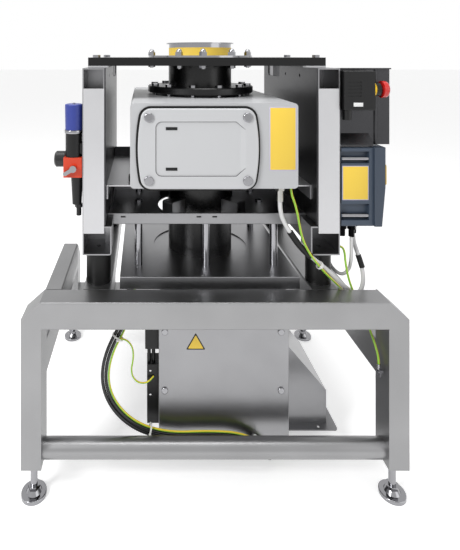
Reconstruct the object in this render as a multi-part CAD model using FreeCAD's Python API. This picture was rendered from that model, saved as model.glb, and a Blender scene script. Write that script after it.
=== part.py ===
"""Gravity-feed pipe metal detector with a reject valve, on a welded stand.

Millimetres, +Z up, +Y to the back. The origin is on the floor, under the middle
of the stand. The product falls down a vertical pipe, through the detector head
and into a diverter valve, whose flap turns a rejected part into the side chute.
"""
import FreeCAD
import Part
import math
import os

V = FreeCAD.Vector
X_AXIS, Y_AXIS, Z_AXIS = V(1, 0, 0), V(0, 1, 0), V(0, 0, 1)

# ---------------------------------------------------------------- stand
stand_width = 869.0          # over the outer faces of the legs
stand_depth = 646.0          # front face of the front legs to back face of the rear legs
table_height = 455.0         # floor to the top of the front beam
leg_width = 45.5             # across the front
leg_depth = 60.0             # front to back
leg_bottom = 80.0            # floor to the underside of the legs
beam_height = 61.0
tube_wall = 3.0
tube_edge = 3.0              # outside edge radius of the square tubes
corner_cut_x = 41.5          # bevelled corner of the front frame, across
corner_cut_z = 37.0          # the same, downward
side_rail_bottom = 259.0
side_rail_height = 79.0
rear_corner_cut = 53.0       # bevel on the top of the rear legs
rear_beam_bottom = 121.0
rear_beam_height = 60.0
arm_inner_x = 353.0          # arm behind the left end of the beam
arm_width = 40.0
arm_length = 262.0
cross_tube_dia = 42.4
cross_tube_z = 106.5
rail_centre_x = 270.0        # damper rails and columns share this line
rail_width = 66.0
rear_post_width = 40.0

# ---------------------------------------------------------------- levelling feet
stem_dia = 16.0
stem_length = 122.0          # disc to the top of the threaded stem
stem_clearance = 0.3
disc_dia = 58.0
disc_height = 8.0
foot_adjust = 30.0           # travel of a foot
foot_plate = 6.0             # plate welded in the end of the leg

# ---------------------------------------------------------------- dampers and columns
damper_dia = 60.0
damper_height = 81.0
damper_set_back = 106.0      # front plane of the stand to the front damper axis
rear_damper_set_back = 478.0
column_width = 51.8
column_set_back = 58.0       # front plane of the stand to the column's front
column_depth = 94.0
sheet = 3.0                  # folded sheet of columns, plates and tray
column_height = 442.0
cover_low = 52.5             # column foot to the lower edge of its cover
cover_high = 394.0           # column foot to the upper edge of its cover
cap_thickness = 4.0
cover_side_gap = 2.3         # column cover, in from the outer face of the column
column_bolt_inset = 11.0     # front bolts of the top plate, in from the back of the column
plate_bolt_front_x = 26.5    # the same bolts, out from the inner face of the column
plate_bolt_rear_x = 15.5
plate_bolt_rear_inset = 14.0 # rear bolts, in from the notch
shelf_reach = 31.0           # small shelf on the side plate, for the rear bolts
foot_box_height = 68.0       # open box at the foot of each column
foot_box_depth = 70.0
foot_box_gap = 3.0           # between the foot box and the side plate
side_plate_depth = 467.0
notch_front = 293.0          # from the column front back to the notch in the plate's top
notch_length = 124.0
notch_drop = 34.0
notch_corner = 10.0
keyhole_drop = 22.0
keyhole_set_backs = (118.0, 236.0)   # from the front of the column
keyhole_dia = 9.0

# ---------------------------------------------------------------- product line
axis_set_back = 276.0        # front plane of the stand to the pipe axis
pipe_outer_dia = 176.0
pipe_wall = 6.0
top_plate_width = 599.0
top_plate_depth = 292.0
top_plate_thickness = 21.0
inlet_outer_dia = 174.0
inlet_wall = 2.0
inlet_height = 40.0
inlet_rim_dia = 188.0
inlet_rim_height = 3.0
inlet_flange_dia = 290.0
inlet_flange_thickness = 5.0
flange_dia = 293.0
flange_thickness = 19.0
flange_above_head = 6.0
flange_bolt_circle = 262.0
flange_bolt_angles = tuple(15.0 + 30.0 * k for k in range(12))
flange_seat_width = 20.0     # ring under the black flange
flange_edge = 2.5
inlet_bolt_circle = 272.0
inlet_bolt_angles = (0.0, 60.0, 120.0, 180.0, 240.0, 266.5, 300.0)
acorn_hexagon = 9.0          # height of the six flats of an acorn nut
acorn_height = 18.0
bolt_dia = 10.0
bolt_head_height = 6.5
bolt_head_across = 17.0

# ---------------------------------------------------------------- detector head
head_width = 381.0
head_height = 193.5
head_bottom = 706.5          # above the floor
head_half_depth = 262.0
head_corner = 9.0
head_wall = 3.0
aperture_clearance = 2.0     # pipe to the liner of the head
liner_wall = 4.0
cover_width = 250.0
cover_height = 181.0
cover_side_bulge = 11.0
cover_corner = 24.0
cover_thickness = 8.0
cover_shift = -37.0           # middle of the cover, from the pipe axis
cover_drop = 5.0             # middle of the cover, below the middle of the head
gasket_thickness = 2.5
gasket_margin = 5.0
gasket_band = 20.0           # width of the gasket
cover_edge = 2.5             # rounding of its front edge
panel_width = 203.5          # sunk panel in the middle of the cover
panel_height = 123.0
panel_depth = 2.0
panel_shift = 5.5            # middle of the panel, from the middle of the cover
panel_corner = 14.0          # left corners, rounded
panel_cut_x = 22.0           # right corners, cut off
panel_cut_z = 19.0
panel_slope = 12.5           # sloping strip at the right end
slot_inner_x = 73.0          # slots, left of the middle of the cover
slot_length = 26.0
slot_height = 7.0
slot_z = 45.5
cover_screw_dia = 22.0
cover_screw_height = 4.0
cover_screw_x = 111.0
cover_screw_z = 71.0
pad_dia = 40.0               # rubber pads under the head
pad_height = 15.0
shelf_width = 96.0
shelf_fold = 34.0
shelf_set_back = 94.0
rear_panel_height = 138.0
ear_clearance = 3.0          # head to the ears of the rear panel
rear_hole_dia = 26.0
rear_hole_x = 208.0
rear_hole_z = 664.0
gland_dia = 22.0
gland_length = 36.0
head_gland_x = 157.0
head_gland_set_back = 40.0

# ---------------------------------------------------------------- tray, spacers, lower plate
tray_floor = 582.0           # floor of the room to the underside of the tray
tray_edge_height = 28.0      # upstanding edges of the tray
tray_front = 132.0           # set back from the front plane
tray_hole_dia = 236.0
tray_slot_xs = (-211.0, -20.0, 20.0)
tray_slot_width = 12.0
tray_slot_height = 4.0
tray_slot_drop = 7.0         # top of a slot, below the tray's edge
tray_bolt_set_back = 300.0
clamp_reach = 137.0          # outer end of a pipe clamp, from the pipe axis
clamp_width = 36.0
clamp_height = 39.0
clamp_edge = 5.0
spacer_dia = 20.0
spacer_x = 172.8
spacer_set_back = 148.0
pan_edge = 2.0               # rounding of the folds of the tray and the lower plate
lower_plate_top = 474.0      # above the floor
lower_plate_width = 434.0
lower_plate_front = 80.0
lower_plate_lip = 30.0
lower_hole_dia = 260.0

# ---------------------------------------------------------------- reject valve
duct_width = 210.0
duct_wall = 3.0
duct_bottom = 60.0           # above the floor
valve_flange_thickness = 8.0
valve_flange_width = 290.0
outlet_dia = 174.0
outlet_length = 24.0
case_front = 90.0            # set back of the front of the mechanism case
case_left = -119.0
case_right = 188.0
case_bottom = 64.0
case_top = 436.0
case_wall = 2.0
valve_cover_margin = 4.0
valve_cover_thickness = 6.0
valve_screw_dia = 16.0
valve_screw_height = 4.0
valve_screw_left = 14.5      # screws, in from the cover's left edge
valve_screw_right = 19.0
valve_screw_rows = (198.0, 340.0)
chute_reach = 319.0          # outer end of the chute
chute_eave = 131.0           # height where its sloping roof ends
chute_head = 379.0           # height where the roof meets the duct
chute_bottom = 45.0
chute_wall = 2.0
chute_lip = 22.0
chute_lip_thickness = 3.0
chute_hole_dia = 7.0
flap_axis_x = 88.0
flap_axis_z = 128.0
flap_length = 262.0
flap_thickness = 3.0
flap_side_gap = 2.0
shaft_dia = 16.0
shaft_clearance = 0.05
bearing_dia = 34.0
bearing_length = 10.0
actuator_width = 120.0
actuator_height = 56.0
actuator_depth = 44.0
actuator_cap = 12.0          # round cover at each end
actuator_edge = 6.0
solenoid_width = 37.0
solenoid_depth = 44.0
solenoid_height = 52.0
solenoid_z = 285.0
solenoid_set_back = 14.0     # behind the front of the case
port_dia = 9.0
port_inset = 16.0            # first port, out from the case
port_pitch = 11.0
port_depth = 12.0
bracket_width = 32.0
bracket_bottom = 103.0
bracket_top = 247.0
bracket_flange = 44.0
bracket_hole_dia = 6.0
bracket_hole_x = 24.0        # out from the case
bracket_hole_zs = (172.0, 230.5)

# ---------------------------------------------------------------- electrical boxes
box_gap = 4.0                # column to the boxes on its outer side
control_width = 76.0         # body of the control box, sideways
control_cover_width = 27.0
control_height = 187.0
control_bottom = 603.0
control_front = 60.0
control_depth = 200.0
control_edge = 5.0
control_cover_margin = 6.0   # cover past the body, front and back
control_cover_rise = 2.0     # its lower edge above the body's
control_cover_over = 1.0     # its upper edge above the body's
control_cover_taper = 8.0    # outer face, in at the bottom
pockets = ((15.0, 39.0), (150.0, 28.0))   # height above the bottom, height of the pocket
pocket_depth = 12.0
mount_inset = 22.0           # mounting pad, in from the edges of the column and the box
control_cover_edge = 4.0
pocket_end = 10.0            # solid wall between the pockets and the cover
handle_rise = 10.0           # bar above the floor of its pocket
handle_dia = 9.0
switch_plate_size = 48.0
switch_plate_thickness = 4.0
switch_knob_dia = 30.0
switch_knob_height = 9.0
switch_grip_width = 10.0
switch_set_back = 84.0
switch_z = 725.0
running_gap = 0.3            # a moving piece and its seat
wall_plate_set_back = 86.0
wall_plate_reach = 436.0
wall_plate_bottom = 793.0
wall_plate_top = 978.0
wall_plate_bead = 8.0
wall_plate_bead_x = 402.0
top_fold_depth = 8.0         # fold along the top, to the front
roof_front = 60.0
roof_gap = 4.0               # above the control box
roof_rise = 23.0
estop_box_width = 72.0
estop_box_bottom = 880.0
estop_box_height = 92.0
estop_box_front = 44.0
estop_set_back = 62.0
estop_z = 928.0
estop_ring_dia = 30.0
estop_ring_width = 6.0
estop_collar_dia = 32.0
estop_collar_width = 11.0
estop_stem_dia = 12.0
estop_stem_length = 20.0
estop_travel = 5.0
mushroom_dia = 40.0
mushroom_width = 15.0
mushroom_edge = 8.0
estop_box_edge = 3.0
estop_rib_count = 5          # grooves in the front of the box
estop_rib_start = 32.0
estop_rib_pitch = 8.0
estop_rib_gap = 3.0
estop_rib_depth = 1.5
estop_rib_inset = 8.0
estop_rib_length = 32.0
estop_gland_dia = 20.0
estop_gland_length = 24.0
estop_gland_x = 14.0
estop_stem_seat = 4.3        # stem into the mushroom
box_gland_length = 30.0

# ---------------------------------------------------------------- air service unit
service_x = 327.0            # axis of the regulator, from the middle (left side)
service_set_back = 76.0
strip_width = 24.0           # mounting strip on the column
strip_height = 24.0
knob_dia = 43.0
knob_height = 61.0
knob_bottom = 831.0
collar_height = 8.0          # ring under the knob
collar_dia = 43.5
bonnet_dia = 40.0
bonnet_height = 56.0
manifold_height = 46.5
manifold_width = 44.5
manifold_depth = 44.0
bowl_dia = 29.0
bowl_end_dia = 22.0
bowl_height = 67.5
bowl_offset = 7.5            # towards the column
drain_dia = 12.0
drain_height = 27.5
drain_offset = 12.0
drain_nut_height = 8.0
gauge_dia = 38.0
gauge_length = 24.5
gauge_edge = 4.0
gauge_drop = 9.0             # axis below the top of the manifold
gauge_offset = 10.0          # axis behind the regulator's
valve_stub_dia = 16.0
valve_stub_length = 6.0
valve_stub_x = 2.3           # lever axis, from the regulator's axis towards the column
valve_stub_rise = 22.5       # lever axis above the bottom of the manifold
handle_length = 26.0
handle_height = 9.0
handle_thickness = 4.0
handle_turn = 32.0           # lever below level, at rest

# ---------------------------------------------------------------- cords
signal_cable_dia = 10.0
loop_cable_dia = 8.0
hose_dia = 8.0
earth_dia = 5.0
thin_earth_dia = 4.0
lug_dia = 8.0
lug_reach = 12.0
earth_stud_z = 281.0
bundle_gland_dia = 32.0
bundle_gland_length = 14.0

# ---------------------------------------------------------------- places worked out from the sizes
front_y = -stand_depth / 2
half_width = stand_width / 2
leg_inner_x = half_width - leg_width
beam_bottom = table_height - beam_height
axis_y = front_y + axis_set_back
column_inner_x = rail_centre_x + 8.4 - column_width / 2
column_outer_x = column_inner_x + column_width
plate_inner_x = column_inner_x - sheet
column_foot = table_height + damper_height
foot_box_inner_x = 2 * rail_centre_x - column_outer_x
foot_box_top = column_foot + foot_box_height
column_head = column_foot + column_height
pad_x = plate_inner_x - shelf_width + pad_dia / 2 + 4
column_y = front_y + column_set_back
side_plate_back = column_y + side_plate_depth
top_plate_z = column_head + cap_thickness
inlet_z = top_plate_z + top_plate_thickness
head_top = head_bottom + head_height
head_y = axis_y - head_half_depth
cover_z = head_bottom + head_height / 2 - cover_drop
tray_top = tray_floor + tray_edge_height
tray_seat = tray_floor + sheet
pipe_radius = pipe_outer_dia / 2
valve_top = lower_plate_top - sheet
duct_half = duct_width / 2
duct_front_y = axis_y - duct_half
case_y = front_y + case_front
box_x = column_outer_x + box_gap
cover_seat_x = box_x + control_width
switch_face_x = cover_seat_x + control_cover_width
estop_face_x = box_x + estop_box_width
parts = {}


# ---------------------------------------------------------------- helpers
def at(x, set_back, z):
    """A point given by its distance behind the front plane of the stand."""
    return V(x, front_y + set_back, z)


def box(x0, x1, y0, y1, z0, z1):
    """A block between two values on each axis."""
    return Part.makeBox(x1 - x0, y1 - y0, z1 - z0, V(x0, y0, z0))


def rod(dia, length, base, axis=Z_AXIS):
    return Part.makeCylinder(dia / 2, length, base, axis)


def ring(outer_dia, inner_dia, length, base, axis=Z_AXIS):
    return rod(outer_dia, length, base, axis).cut(rod(inner_dia, length, base, axis))


def cone(dia_low, dia_high, length, base, axis=Z_AXIS):
    return Part.makeCone(dia_low / 2, dia_high / 2, length, base, axis)


def prism(points, direction):
    """A flat outline pushed along a vector."""
    return Part.Face(Part.makePolygon(points + points[:1])).extrude(direction)


def hexagon(across, height, base, axis=Z_AXIS):
    """A nut or bolt head, its flats 'across' apart."""
    radius = across / math.sqrt(3)
    side = X_AXIS if abs(axis.x) < 0.5 else Y_AXIS
    points = []
    for k in range(6):
        turn = FreeCAD.Rotation(axis, 60.0 * k)
        points.append(base + turn.multVec(side * radius))
    return prism(points, axis * height)


def edges_along(shape, axis):
    """The straight edges that run along an axis."""
    found = []
    for edge in shape.Edges:
        if len(edge.Vertexes) == 2:
            line = (edge.Vertexes[1].Point - edge.Vertexes[0].Point)
            if line.Length > 1 and abs(abs(line.normalize().dot(axis)) - 1) < 1e-6:
                found.append(edge)
    return found


def rounded(shape, radius, axis):
    return shape.makeFillet(radius, edges_along(shape, axis))


def square_tube(x0, x1, y0, y1, z0, z1, axis):
    """A hollow tube along one axis, open at both ends."""
    wall = V(tube_wall, tube_wall, tube_wall) - axis * tube_wall
    outer = rounded(box(x0, x1, y0, y1, z0, z1), tube_edge, axis)
    inner = box(x0 + wall.x, x1 - wall.x, y0 + wall.y, y1 - wall.y, z0 + wall.z, z1 - wall.z)
    return outer.cut(inner)


def hollow_prism(outline, direction, wall, ends):
    """A closed case: an outline pushed along a vector, with walls and end plates."""
    outer = Part.Face(Part.makePolygon(outline + outline[:1]))
    inner = outer.makeOffset2D(-wall, 2)
    length = direction.Length
    unit = direction * (1 / length)
    hollow = inner.extrude(unit * (length - 2 * ends))
    hollow.translate(unit * ends)
    return outer.extrude(direction).cut(hollow)


def mirrored(shape):
    """The same piece on the other side of the middle plane."""
    return shape.mirror(V(0, 0, 0), X_AXIS)


def pair(shape):
    """A piece and its mirror image, kept as two solids."""
    return [shape, mirrored(shape)]


def fuse(shapes):
    first = shapes[0].multiFuse(shapes[1:])
    return first.removeSplitter()


def add(name, shape):
    """Keep a piece, or a group of separate solids, as one node."""
    solids = shape if isinstance(shape, list) else [shape]
    flat = []
    for piece in solids:
        flat.extend(piece.Solids)
    parts[name] = flat[0] if len(flat) == 1 else Part.makeCompound(flat)


def around(angles, circle, centre):
    """Points at those angles on a circle about a vertical axis."""
    points = []
    for angle in angles:
        turn = math.radians(angle)
        points.append(centre + V(math.cos(turn), math.sin(turn), 0) * (circle / 2))
    return points


def cord(name, points, dia):
    """A cord's solid: straight runs joined by arcs as large as the runs allow."""
    edges = []
    start = points[0]
    length = 0.0
    radii = []
    for before, corner, after in zip(points, points[1:], points[2:]):
        into = (corner - before)
        out = (after - corner)
        shorter = min(into.Length, out.Length)
        into.normalize()
        out.normalize()
        turn = into.getAngle(out)
        reach = 0.45 * shorter
        radii.append(reach / math.tan(turn / 2))
        first = corner - into * reach
        last = corner + out * reach
        towards = (out - into).normalize()
        middle_gap = radii[-1] / math.cos(turn / 2) - radii[-1]
        edges.append(Part.LineSegment(start, first).toShape())
        edges.append(Part.Arc(first, corner + towards * middle_gap, last).toShape())
        length += (first - start).Length + radii[-1] * turn
        start = last
    edges.append(Part.LineSegment(start, points[-1]).toShape())
    length += (points[-1] - start).Length
    path = Part.Wire(edges)
    heading = (points[1] - points[0]).normalize()
    section = Part.Wire(Part.makeCircle(dia / 2, points[0], heading))
    solid = path.makePipeShell([section], True, False)
    if solid.Volume < 0:
        solid.reverse()
    area = math.pi * dia * dia / 4
    print("%s: %.0f mm long, least radius %.1f (%.1f dia), volume ratio %.4f"
          % (name, length, min(radii), min(radii) / dia, solid.Volume / (area * length)))
    print("   radii", [round(r) for r in radii])
    add(name, solid)


# ---------------------------------------------------------------- stand
def front_leg():
    outline = [V(leg_inner_x, front_y, leg_bottom), V(half_width, front_y, leg_bottom),
               V(half_width, front_y, table_height - corner_cut_z),
               V(half_width - corner_cut_x, front_y, table_height),
               V(leg_inner_x, front_y, table_height)]
    leg = hollow_prism(outline, Y_AXIS * leg_depth, tube_wall, tube_wall)
    return leg_end(leg, front_y + leg_depth / 2)


def rear_leg():
    back = front_y + stand_depth
    front = back - leg_depth
    top = side_rail_bottom + side_rail_height
    outline = [V(leg_inner_x, front, leg_bottom), V(leg_inner_x, back, leg_bottom),
               V(leg_inner_x, back, top - rear_corner_cut),
               V(leg_inner_x, back - rear_corner_cut, top), V(leg_inner_x, front, top)]
    leg = hollow_prism(outline, X_AXIS * leg_width, tube_wall, tube_wall)
    return leg_end(leg, back - leg_depth / 2)


def leg_end(leg, y):
    """The thick foot plate in the end of a leg, bored for the stem."""
    x = half_width - leg_width / 2
    plate = box(leg_inner_x + tube_wall, half_width - tube_wall,
                y - leg_depth / 2 + tube_wall, y + leg_depth / 2 - tube_wall,
                leg_bottom + tube_wall, leg_bottom + foot_plate)
    bore = rod(stem_dia + 2 * stem_clearance, foot_plate, V(x, y, leg_bottom))
    return fuse([leg, plate]).cut(bore)


def stand():
    back = front_y + stand_depth
    leg = front_leg()
    add("front_leg_right", leg)
    add("front_leg_left", mirrored(leg))
    add("rear_legs", pair(rear_leg()))
    add("front_beam", square_tube(-leg_inner_x, leg_inner_x, front_y, front_y + leg_depth,
                                  beam_bottom, table_height, X_AXIS))
    add("rear_beam", square_tube(-leg_inner_x, leg_inner_x, back - leg_depth, back,
                                 rear_beam_bottom, rear_beam_bottom + rear_beam_height, X_AXIS))
    rail = square_tube(leg_inner_x, half_width, front_y + leg_depth, back - leg_depth,
                       side_rail_bottom, side_rail_bottom + side_rail_height, Y_AXIS)
    add("side_rails", pair(rail))
    add("front_cross_tube", ring(cross_tube_dia, cross_tube_dia - 2 * tube_wall, 2 * leg_inner_x,
                                 V(-leg_inner_x, front_y + leg_depth / 2, cross_tube_z), X_AXIS))
    arm = square_tube(-arm_inner_x - arm_width, -arm_inner_x, front_y + leg_depth,
                      front_y + leg_depth + arm_length, beam_bottom, table_height, Y_AXIS)
    plug = box(-arm_inner_x - arm_width + tube_wall, -arm_inner_x - tube_wall,
               front_y + leg_depth + arm_length - tube_wall, front_y + leg_depth + arm_length,
               beam_bottom + tube_wall, table_height - tube_wall)
    add("beam_arm", fuse([arm, plug]))
    add("damper_rails", pair(damper_rail()))


def damper_rail():
    """A tube from the front beam to the back, on a post that stands on the rear beam."""
    back = front_y + stand_depth
    inner = rail_centre_x - rail_width / 2
    outer = rail_centre_x + rail_width / 2
    rail = square_tube(inner, outer, front_y + leg_depth, back, beam_bottom, table_height, Y_AXIS)
    post_outer = outer - tube_edge
    post = square_tube(post_outer - rear_post_width, post_outer, back - leg_depth,
                       back - tube_edge, rear_beam_bottom + rear_beam_height, beam_bottom, Z_AXIS)
    return fuse([rail, post])


def foot(x, y):
    """A threaded stem on a round foot: disc, dome and hexagon in one."""
    disc = rod(disc_dia, disc_height, V(x, y, 0))
    disc = disc.makeFillet(2.0, [disc.Edges[0]])
    dome = cone(disc_dia * 0.62, stem_dia + 8, disc_height, V(x, y, disc_height))
    nut = hexagon(stem_dia * 1.5, disc_height, V(x, y, 2 * disc_height))
    stem = rod(stem_dia, stem_length, V(x, y, disc_height))
    return fuse([disc, dome, nut, stem])


def feet():
    x = half_width - leg_width / 2
    rows = {"front": front_y + leg_depth / 2, "rear": front_y + stand_depth - leg_depth / 2}
    for row, y in rows.items():
        for side, sign in (("left", -1), ("right", 1)):
            add("foot_%s_%s" % (row, side), foot(sign * x, y))


# ---------------------------------------------------------------- dampers, columns, side plates
def dampers():
    solids = []
    for set_back in (damper_set_back, rear_damper_set_back):
        for x in (-rail_centre_x, rail_centre_x):
            body = rod(damper_dia, damper_height, at(x, set_back, table_height))
            waist = ring(damper_dia + 4, damper_dia - 1.6, 3.0,
                         at(x, set_back, table_height + 5))
            solids.append(body.cut(waist))
    shelf_back = 2 * axis_y - front_y - tray_front
    for y in (front_y + shelf_set_back + pad_dia, shelf_back - pad_dia):
        for x in (-pad_x, pad_x):
            solids.append(rod(pad_dia, pad_height, V(x, y, head_bottom - pad_height)))
    add("vibration_dampers", solids)


def column(y0):
    """A folded channel, open to the front, on a wider open box at its foot."""
    outer = box(column_inner_x, column_outer_x, y0, y0 + column_depth, column_foot, column_head)
    room = box(column_inner_x + sheet, column_outer_x - sheet, y0 - 1, y0 + column_depth - sheet,
               column_foot + sheet, column_head - sheet)
    foot_box = box(foot_box_inner_x, column_outer_x, y0, y0 + foot_box_depth,
                   column_foot, foot_box_top)
    foot_box = foot_box.makeFillet(2 * sheet, [
        e for e in edges_along(foot_box, Y_AXIS)
        if e.BoundBox.XMax < column_inner_x and e.BoundBox.ZMax < foot_box_top - 1])
    foot_room = box(foot_box_inner_x + sheet, column_outer_x - sheet, y0 - 1,
                    y0 + foot_box_depth - sheet, column_foot + sheet, foot_box_top - sheet)
    shell = outer.fuse(foot_box).cut(room).cut(foot_room)
    bolt_y = y0 + damper_set_back - column_set_back
    bolt = rod(bolt_dia + 1, sheet, V(rail_centre_x, bolt_y, column_foot))
    return shell.cut(bolt).removeSplitter()


def side_plate():
    """The deep plate behind each column, notched at the top and round the foot boxes."""
    y0, y1 = column_y, side_plate_back
    notch_y0 = y0 + notch_front
    notch_y1 = notch_y0 + notch_length
    plate = box(plate_inner_x, column_inner_x, y0, y1, column_foot, column_head)
    gap = box(plate_inner_x - 1, column_inner_x + 1, notch_y0, notch_y1,
              column_head - notch_drop, column_head + 1)
    gap = gap.makeFillet(notch_corner, [e for e in edges_along(gap, X_AXIS)
                                        if e.BoundBox.ZMax < column_head])
    plate = plate.cut(gap)
    reach = foot_box_depth + foot_box_gap
    for start in (y0, y1 - reach):
        plate = plate.cut(box(plate_inner_x, column_inner_x, start, start + reach,
                              column_foot, foot_box_top + foot_box_gap))
    for set_back in keyhole_set_backs:
        plate = plate.cut(rod(keyhole_dia, 3 * sheet, V(plate_inner_x - sheet, y0 + set_back,
                                                        column_head - keyhole_drop), X_AXIS))
    shelf = box(column_inner_x, column_inner_x + shelf_reach, y0 + column_depth, notch_y0,
                column_head - sheet, top_plate_z)
    return fuse([plate, shelf])


def columns():
    add("front_columns", pair(column(column_y)))
    add("side_plates", pair(side_plate()))
    back = column(side_plate_back - column_depth)
    back = back.mirror(V(0, side_plate_back - column_depth / 2, 0), Y_AXIS)
    add("rear_columns", pair(back))
    cover = box(column_inner_x, column_outer_x - cover_side_gap, column_y - sheet, column_y,
                column_foot + cover_low, column_foot + cover_high)
    cap = box(plate_inner_x, top_plate_width / 2, axis_y - top_plate_depth / 2,
              column_y + column_depth, column_head, top_plate_z)
    add("column_covers", pair(rounded(cover, 1.0, Z_AXIS)) + pair(cap))


# ---------------------------------------------------------------- product line
def top_plate():
    y0 = axis_y - top_plate_depth / 2
    plate = box(-top_plate_width / 2, top_plate_width / 2, y0, y0 + top_plate_depth,
                top_plate_z, inlet_z)
    bore = rod(inlet_outer_dia - 2 * inlet_wall, top_plate_thickness, V(0, axis_y, top_plate_z))
    plate = plate.cut(bore)
    for point in around(inlet_bolt_angles, inlet_bolt_circle, V(0, axis_y, top_plate_z)):
        plate = plate.cut(rod(bolt_dia, top_plate_thickness, point))
    for x, y in plate_bolts():
        plate = plate.cut(rod(bolt_dia, top_plate_thickness, V(x, y, top_plate_z)))
    add("top_plate", plate)


def plate_bolts():
    """The bolts that hold the top plate down on the column caps and side shelves."""
    front = column_y + column_depth - column_bolt_inset
    back = column_y + notch_front - plate_bolt_rear_inset
    front_x = column_inner_x + plate_bolt_front_x
    rear_x = column_inner_x + plate_bolt_rear_x
    return [(-front_x, front), (front_x, front), (-rear_x, back), (rear_x, back)]


def inlet_pipe():
    z = inlet_z
    inner = inlet_outer_dia - 2 * inlet_wall
    flange = ring(inlet_flange_dia, inner, inlet_flange_thickness, V(0, axis_y, z))
    for point in around(inlet_bolt_angles, inlet_bolt_circle, V(0, axis_y, z)):
        flange = flange.cut(rod(bolt_dia, inlet_flange_thickness, point))
    wall = ring(inlet_outer_dia, inner, inlet_height, V(0, axis_y, z))
    rim = ring(inlet_rim_dia, inner, inlet_rim_height,
               V(0, axis_y, z + inlet_height - inlet_rim_height))
    add("inlet_pipe", fuse([flange, wall, rim]))


def product_pipe():
    inner = pipe_outer_dia - 2 * pipe_wall
    wall = ring(pipe_outer_dia, inner, top_plate_z - valve_top, V(0, axis_y, valve_top))
    flange_z = head_top + flange_above_head
    flange = ring(flange_dia, inner, flange_thickness, V(0, axis_y, flange_z))
    flange = flange.makeChamfer(flange_edge, [e for e in flange.Edges
                                      if abs(e.Length - math.pi * flange_dia) < 0.1])
    seat = ring(pipe_outer_dia + 2 * flange_seat_width, inner, flange_above_head, V(0, axis_y, head_top))
    for point in around(flange_bolt_angles, flange_bolt_circle, V(0, axis_y, flange_z)):
        flange = flange.cut(rod(bolt_dia, flange_thickness, point))
    add("product_pipe", fuse([wall, flange, seat]))


def bolt(point, grip, nut=True):
    """A hexagon bolt from above, through 'grip', with its nut below."""
    head = hexagon(bolt_head_across, bolt_head_height, point)
    shank_length = grip + (bolt_head_height + 2 if nut else 0)
    shank = rod(bolt_dia, shank_length, point - Z_AXIS * shank_length)
    pieces = [head, shank]
    if nut:
        pieces.append(hexagon(bolt_head_across, bolt_head_height,
                              point - Z_AXIS * (grip + bolt_head_height)))
    return fuse(pieces)


def acorn_nut(point):
    """A closed nut: six flats with a dome on top."""
    radius = bolt_head_across / 2 - 1
    flats = hexagon(bolt_head_across, acorn_hexagon, point)
    neck_height = acorn_height - acorn_hexagon - radius
    neck = rod(2 * radius, neck_height, point + Z_AXIS * acorn_hexagon)
    dome = Part.makeSphere(radius, point + Z_AXIS * (acorn_hexagon + neck_height),
                           Z_AXIS, 0, 90, 360)
    return fuse([flats, neck, dome])


def line_bolts():
    """The bolts of the inlet flange, the plates and the black flange, and the earth stud."""
    solids = []
    inlet_grip = top_plate_thickness + inlet_flange_thickness
    inlet_top = V(0, axis_y, inlet_z + inlet_flange_thickness)
    for point in around(inlet_bolt_angles, inlet_bolt_circle, inlet_top):
        shank = bolt(point, inlet_grip).cut(box(-half_width, half_width, front_y, -front_y,
                                                point.z, point.z + 2 * acorn_height))
        solids.append(fuse([shank, acorn_nut(point)]))
    for x, y in plate_bolts():
        solids.append(bolt(V(x, y, inlet_z), top_plate_thickness, nut=False))
    flange_top = V(0, axis_y, head_top + flange_above_head + flange_thickness)
    for point in around(flange_bolt_angles, flange_bolt_circle, flange_top):
        solids.append(bolt(point, flange_thickness + flange_above_head, nut=False))
    for x in (-spacer_x, spacer_x):
        solids.append(bolt(at(x, tray_bolt_set_back, tray_seat), sheet))
    solids.append(earth_stud())
    add("line_bolts", solids)


# ---------------------------------------------------------------- detector head
def detector_head():
    y1 = axis_y + head_half_depth
    half = head_width / 2
    outer = box(-half, half, head_y, y1, head_bottom, head_top)
    outer = rounded(outer, head_corner, Y_AXIS)
    w = head_wall
    room = box(-half + w, half - w, head_y + w, y1 - w, head_bottom + w, head_top - w)
    inner = pipe_outer_dia + 2 * aperture_clearance
    liner = ring(inner + 2 * liner_wall, inner, head_height, V(0, axis_y, head_bottom))
    shell = outer.cut(room).fuse(liner)
    shell = shell.cut(rod(inner, head_height, V(0, axis_y, head_bottom)))
    add("detector_head", shell.removeSplitter())


def barrel_outline(width, height, bulge, y):
    """A rectangle whose left and right sides bow outwards."""
    half, tall = width / 2, height / 2
    x, z = cover_shift, cover_z
    corners = [V(x - half, y, z - tall), V(x + half, y, z - tall),
               V(x + half, y, z + tall), V(x - half, y, z + tall)]
    right = Part.Arc(corners[1], V(x + half + bulge, y, z), corners[2]).toShape()
    left = Part.Arc(corners[3], V(x - half - bulge, y, z), corners[0]).toShape()
    low = Part.LineSegment(corners[0], corners[1]).toShape()
    high = Part.LineSegment(corners[2], corners[3]).toShape()
    return Part.Face(Part.Wire([low, right, high, left]))


def barrel_plate(width, height, thickness, y, corner):
    """A plate of that outline with round corners, standing forward of y."""
    face = barrel_outline(width, height, cover_side_bulge, y)
    plate = face.extrude(V(0, -thickness, 0))
    return rounded(plate, corner, Y_AXIS)


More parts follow.
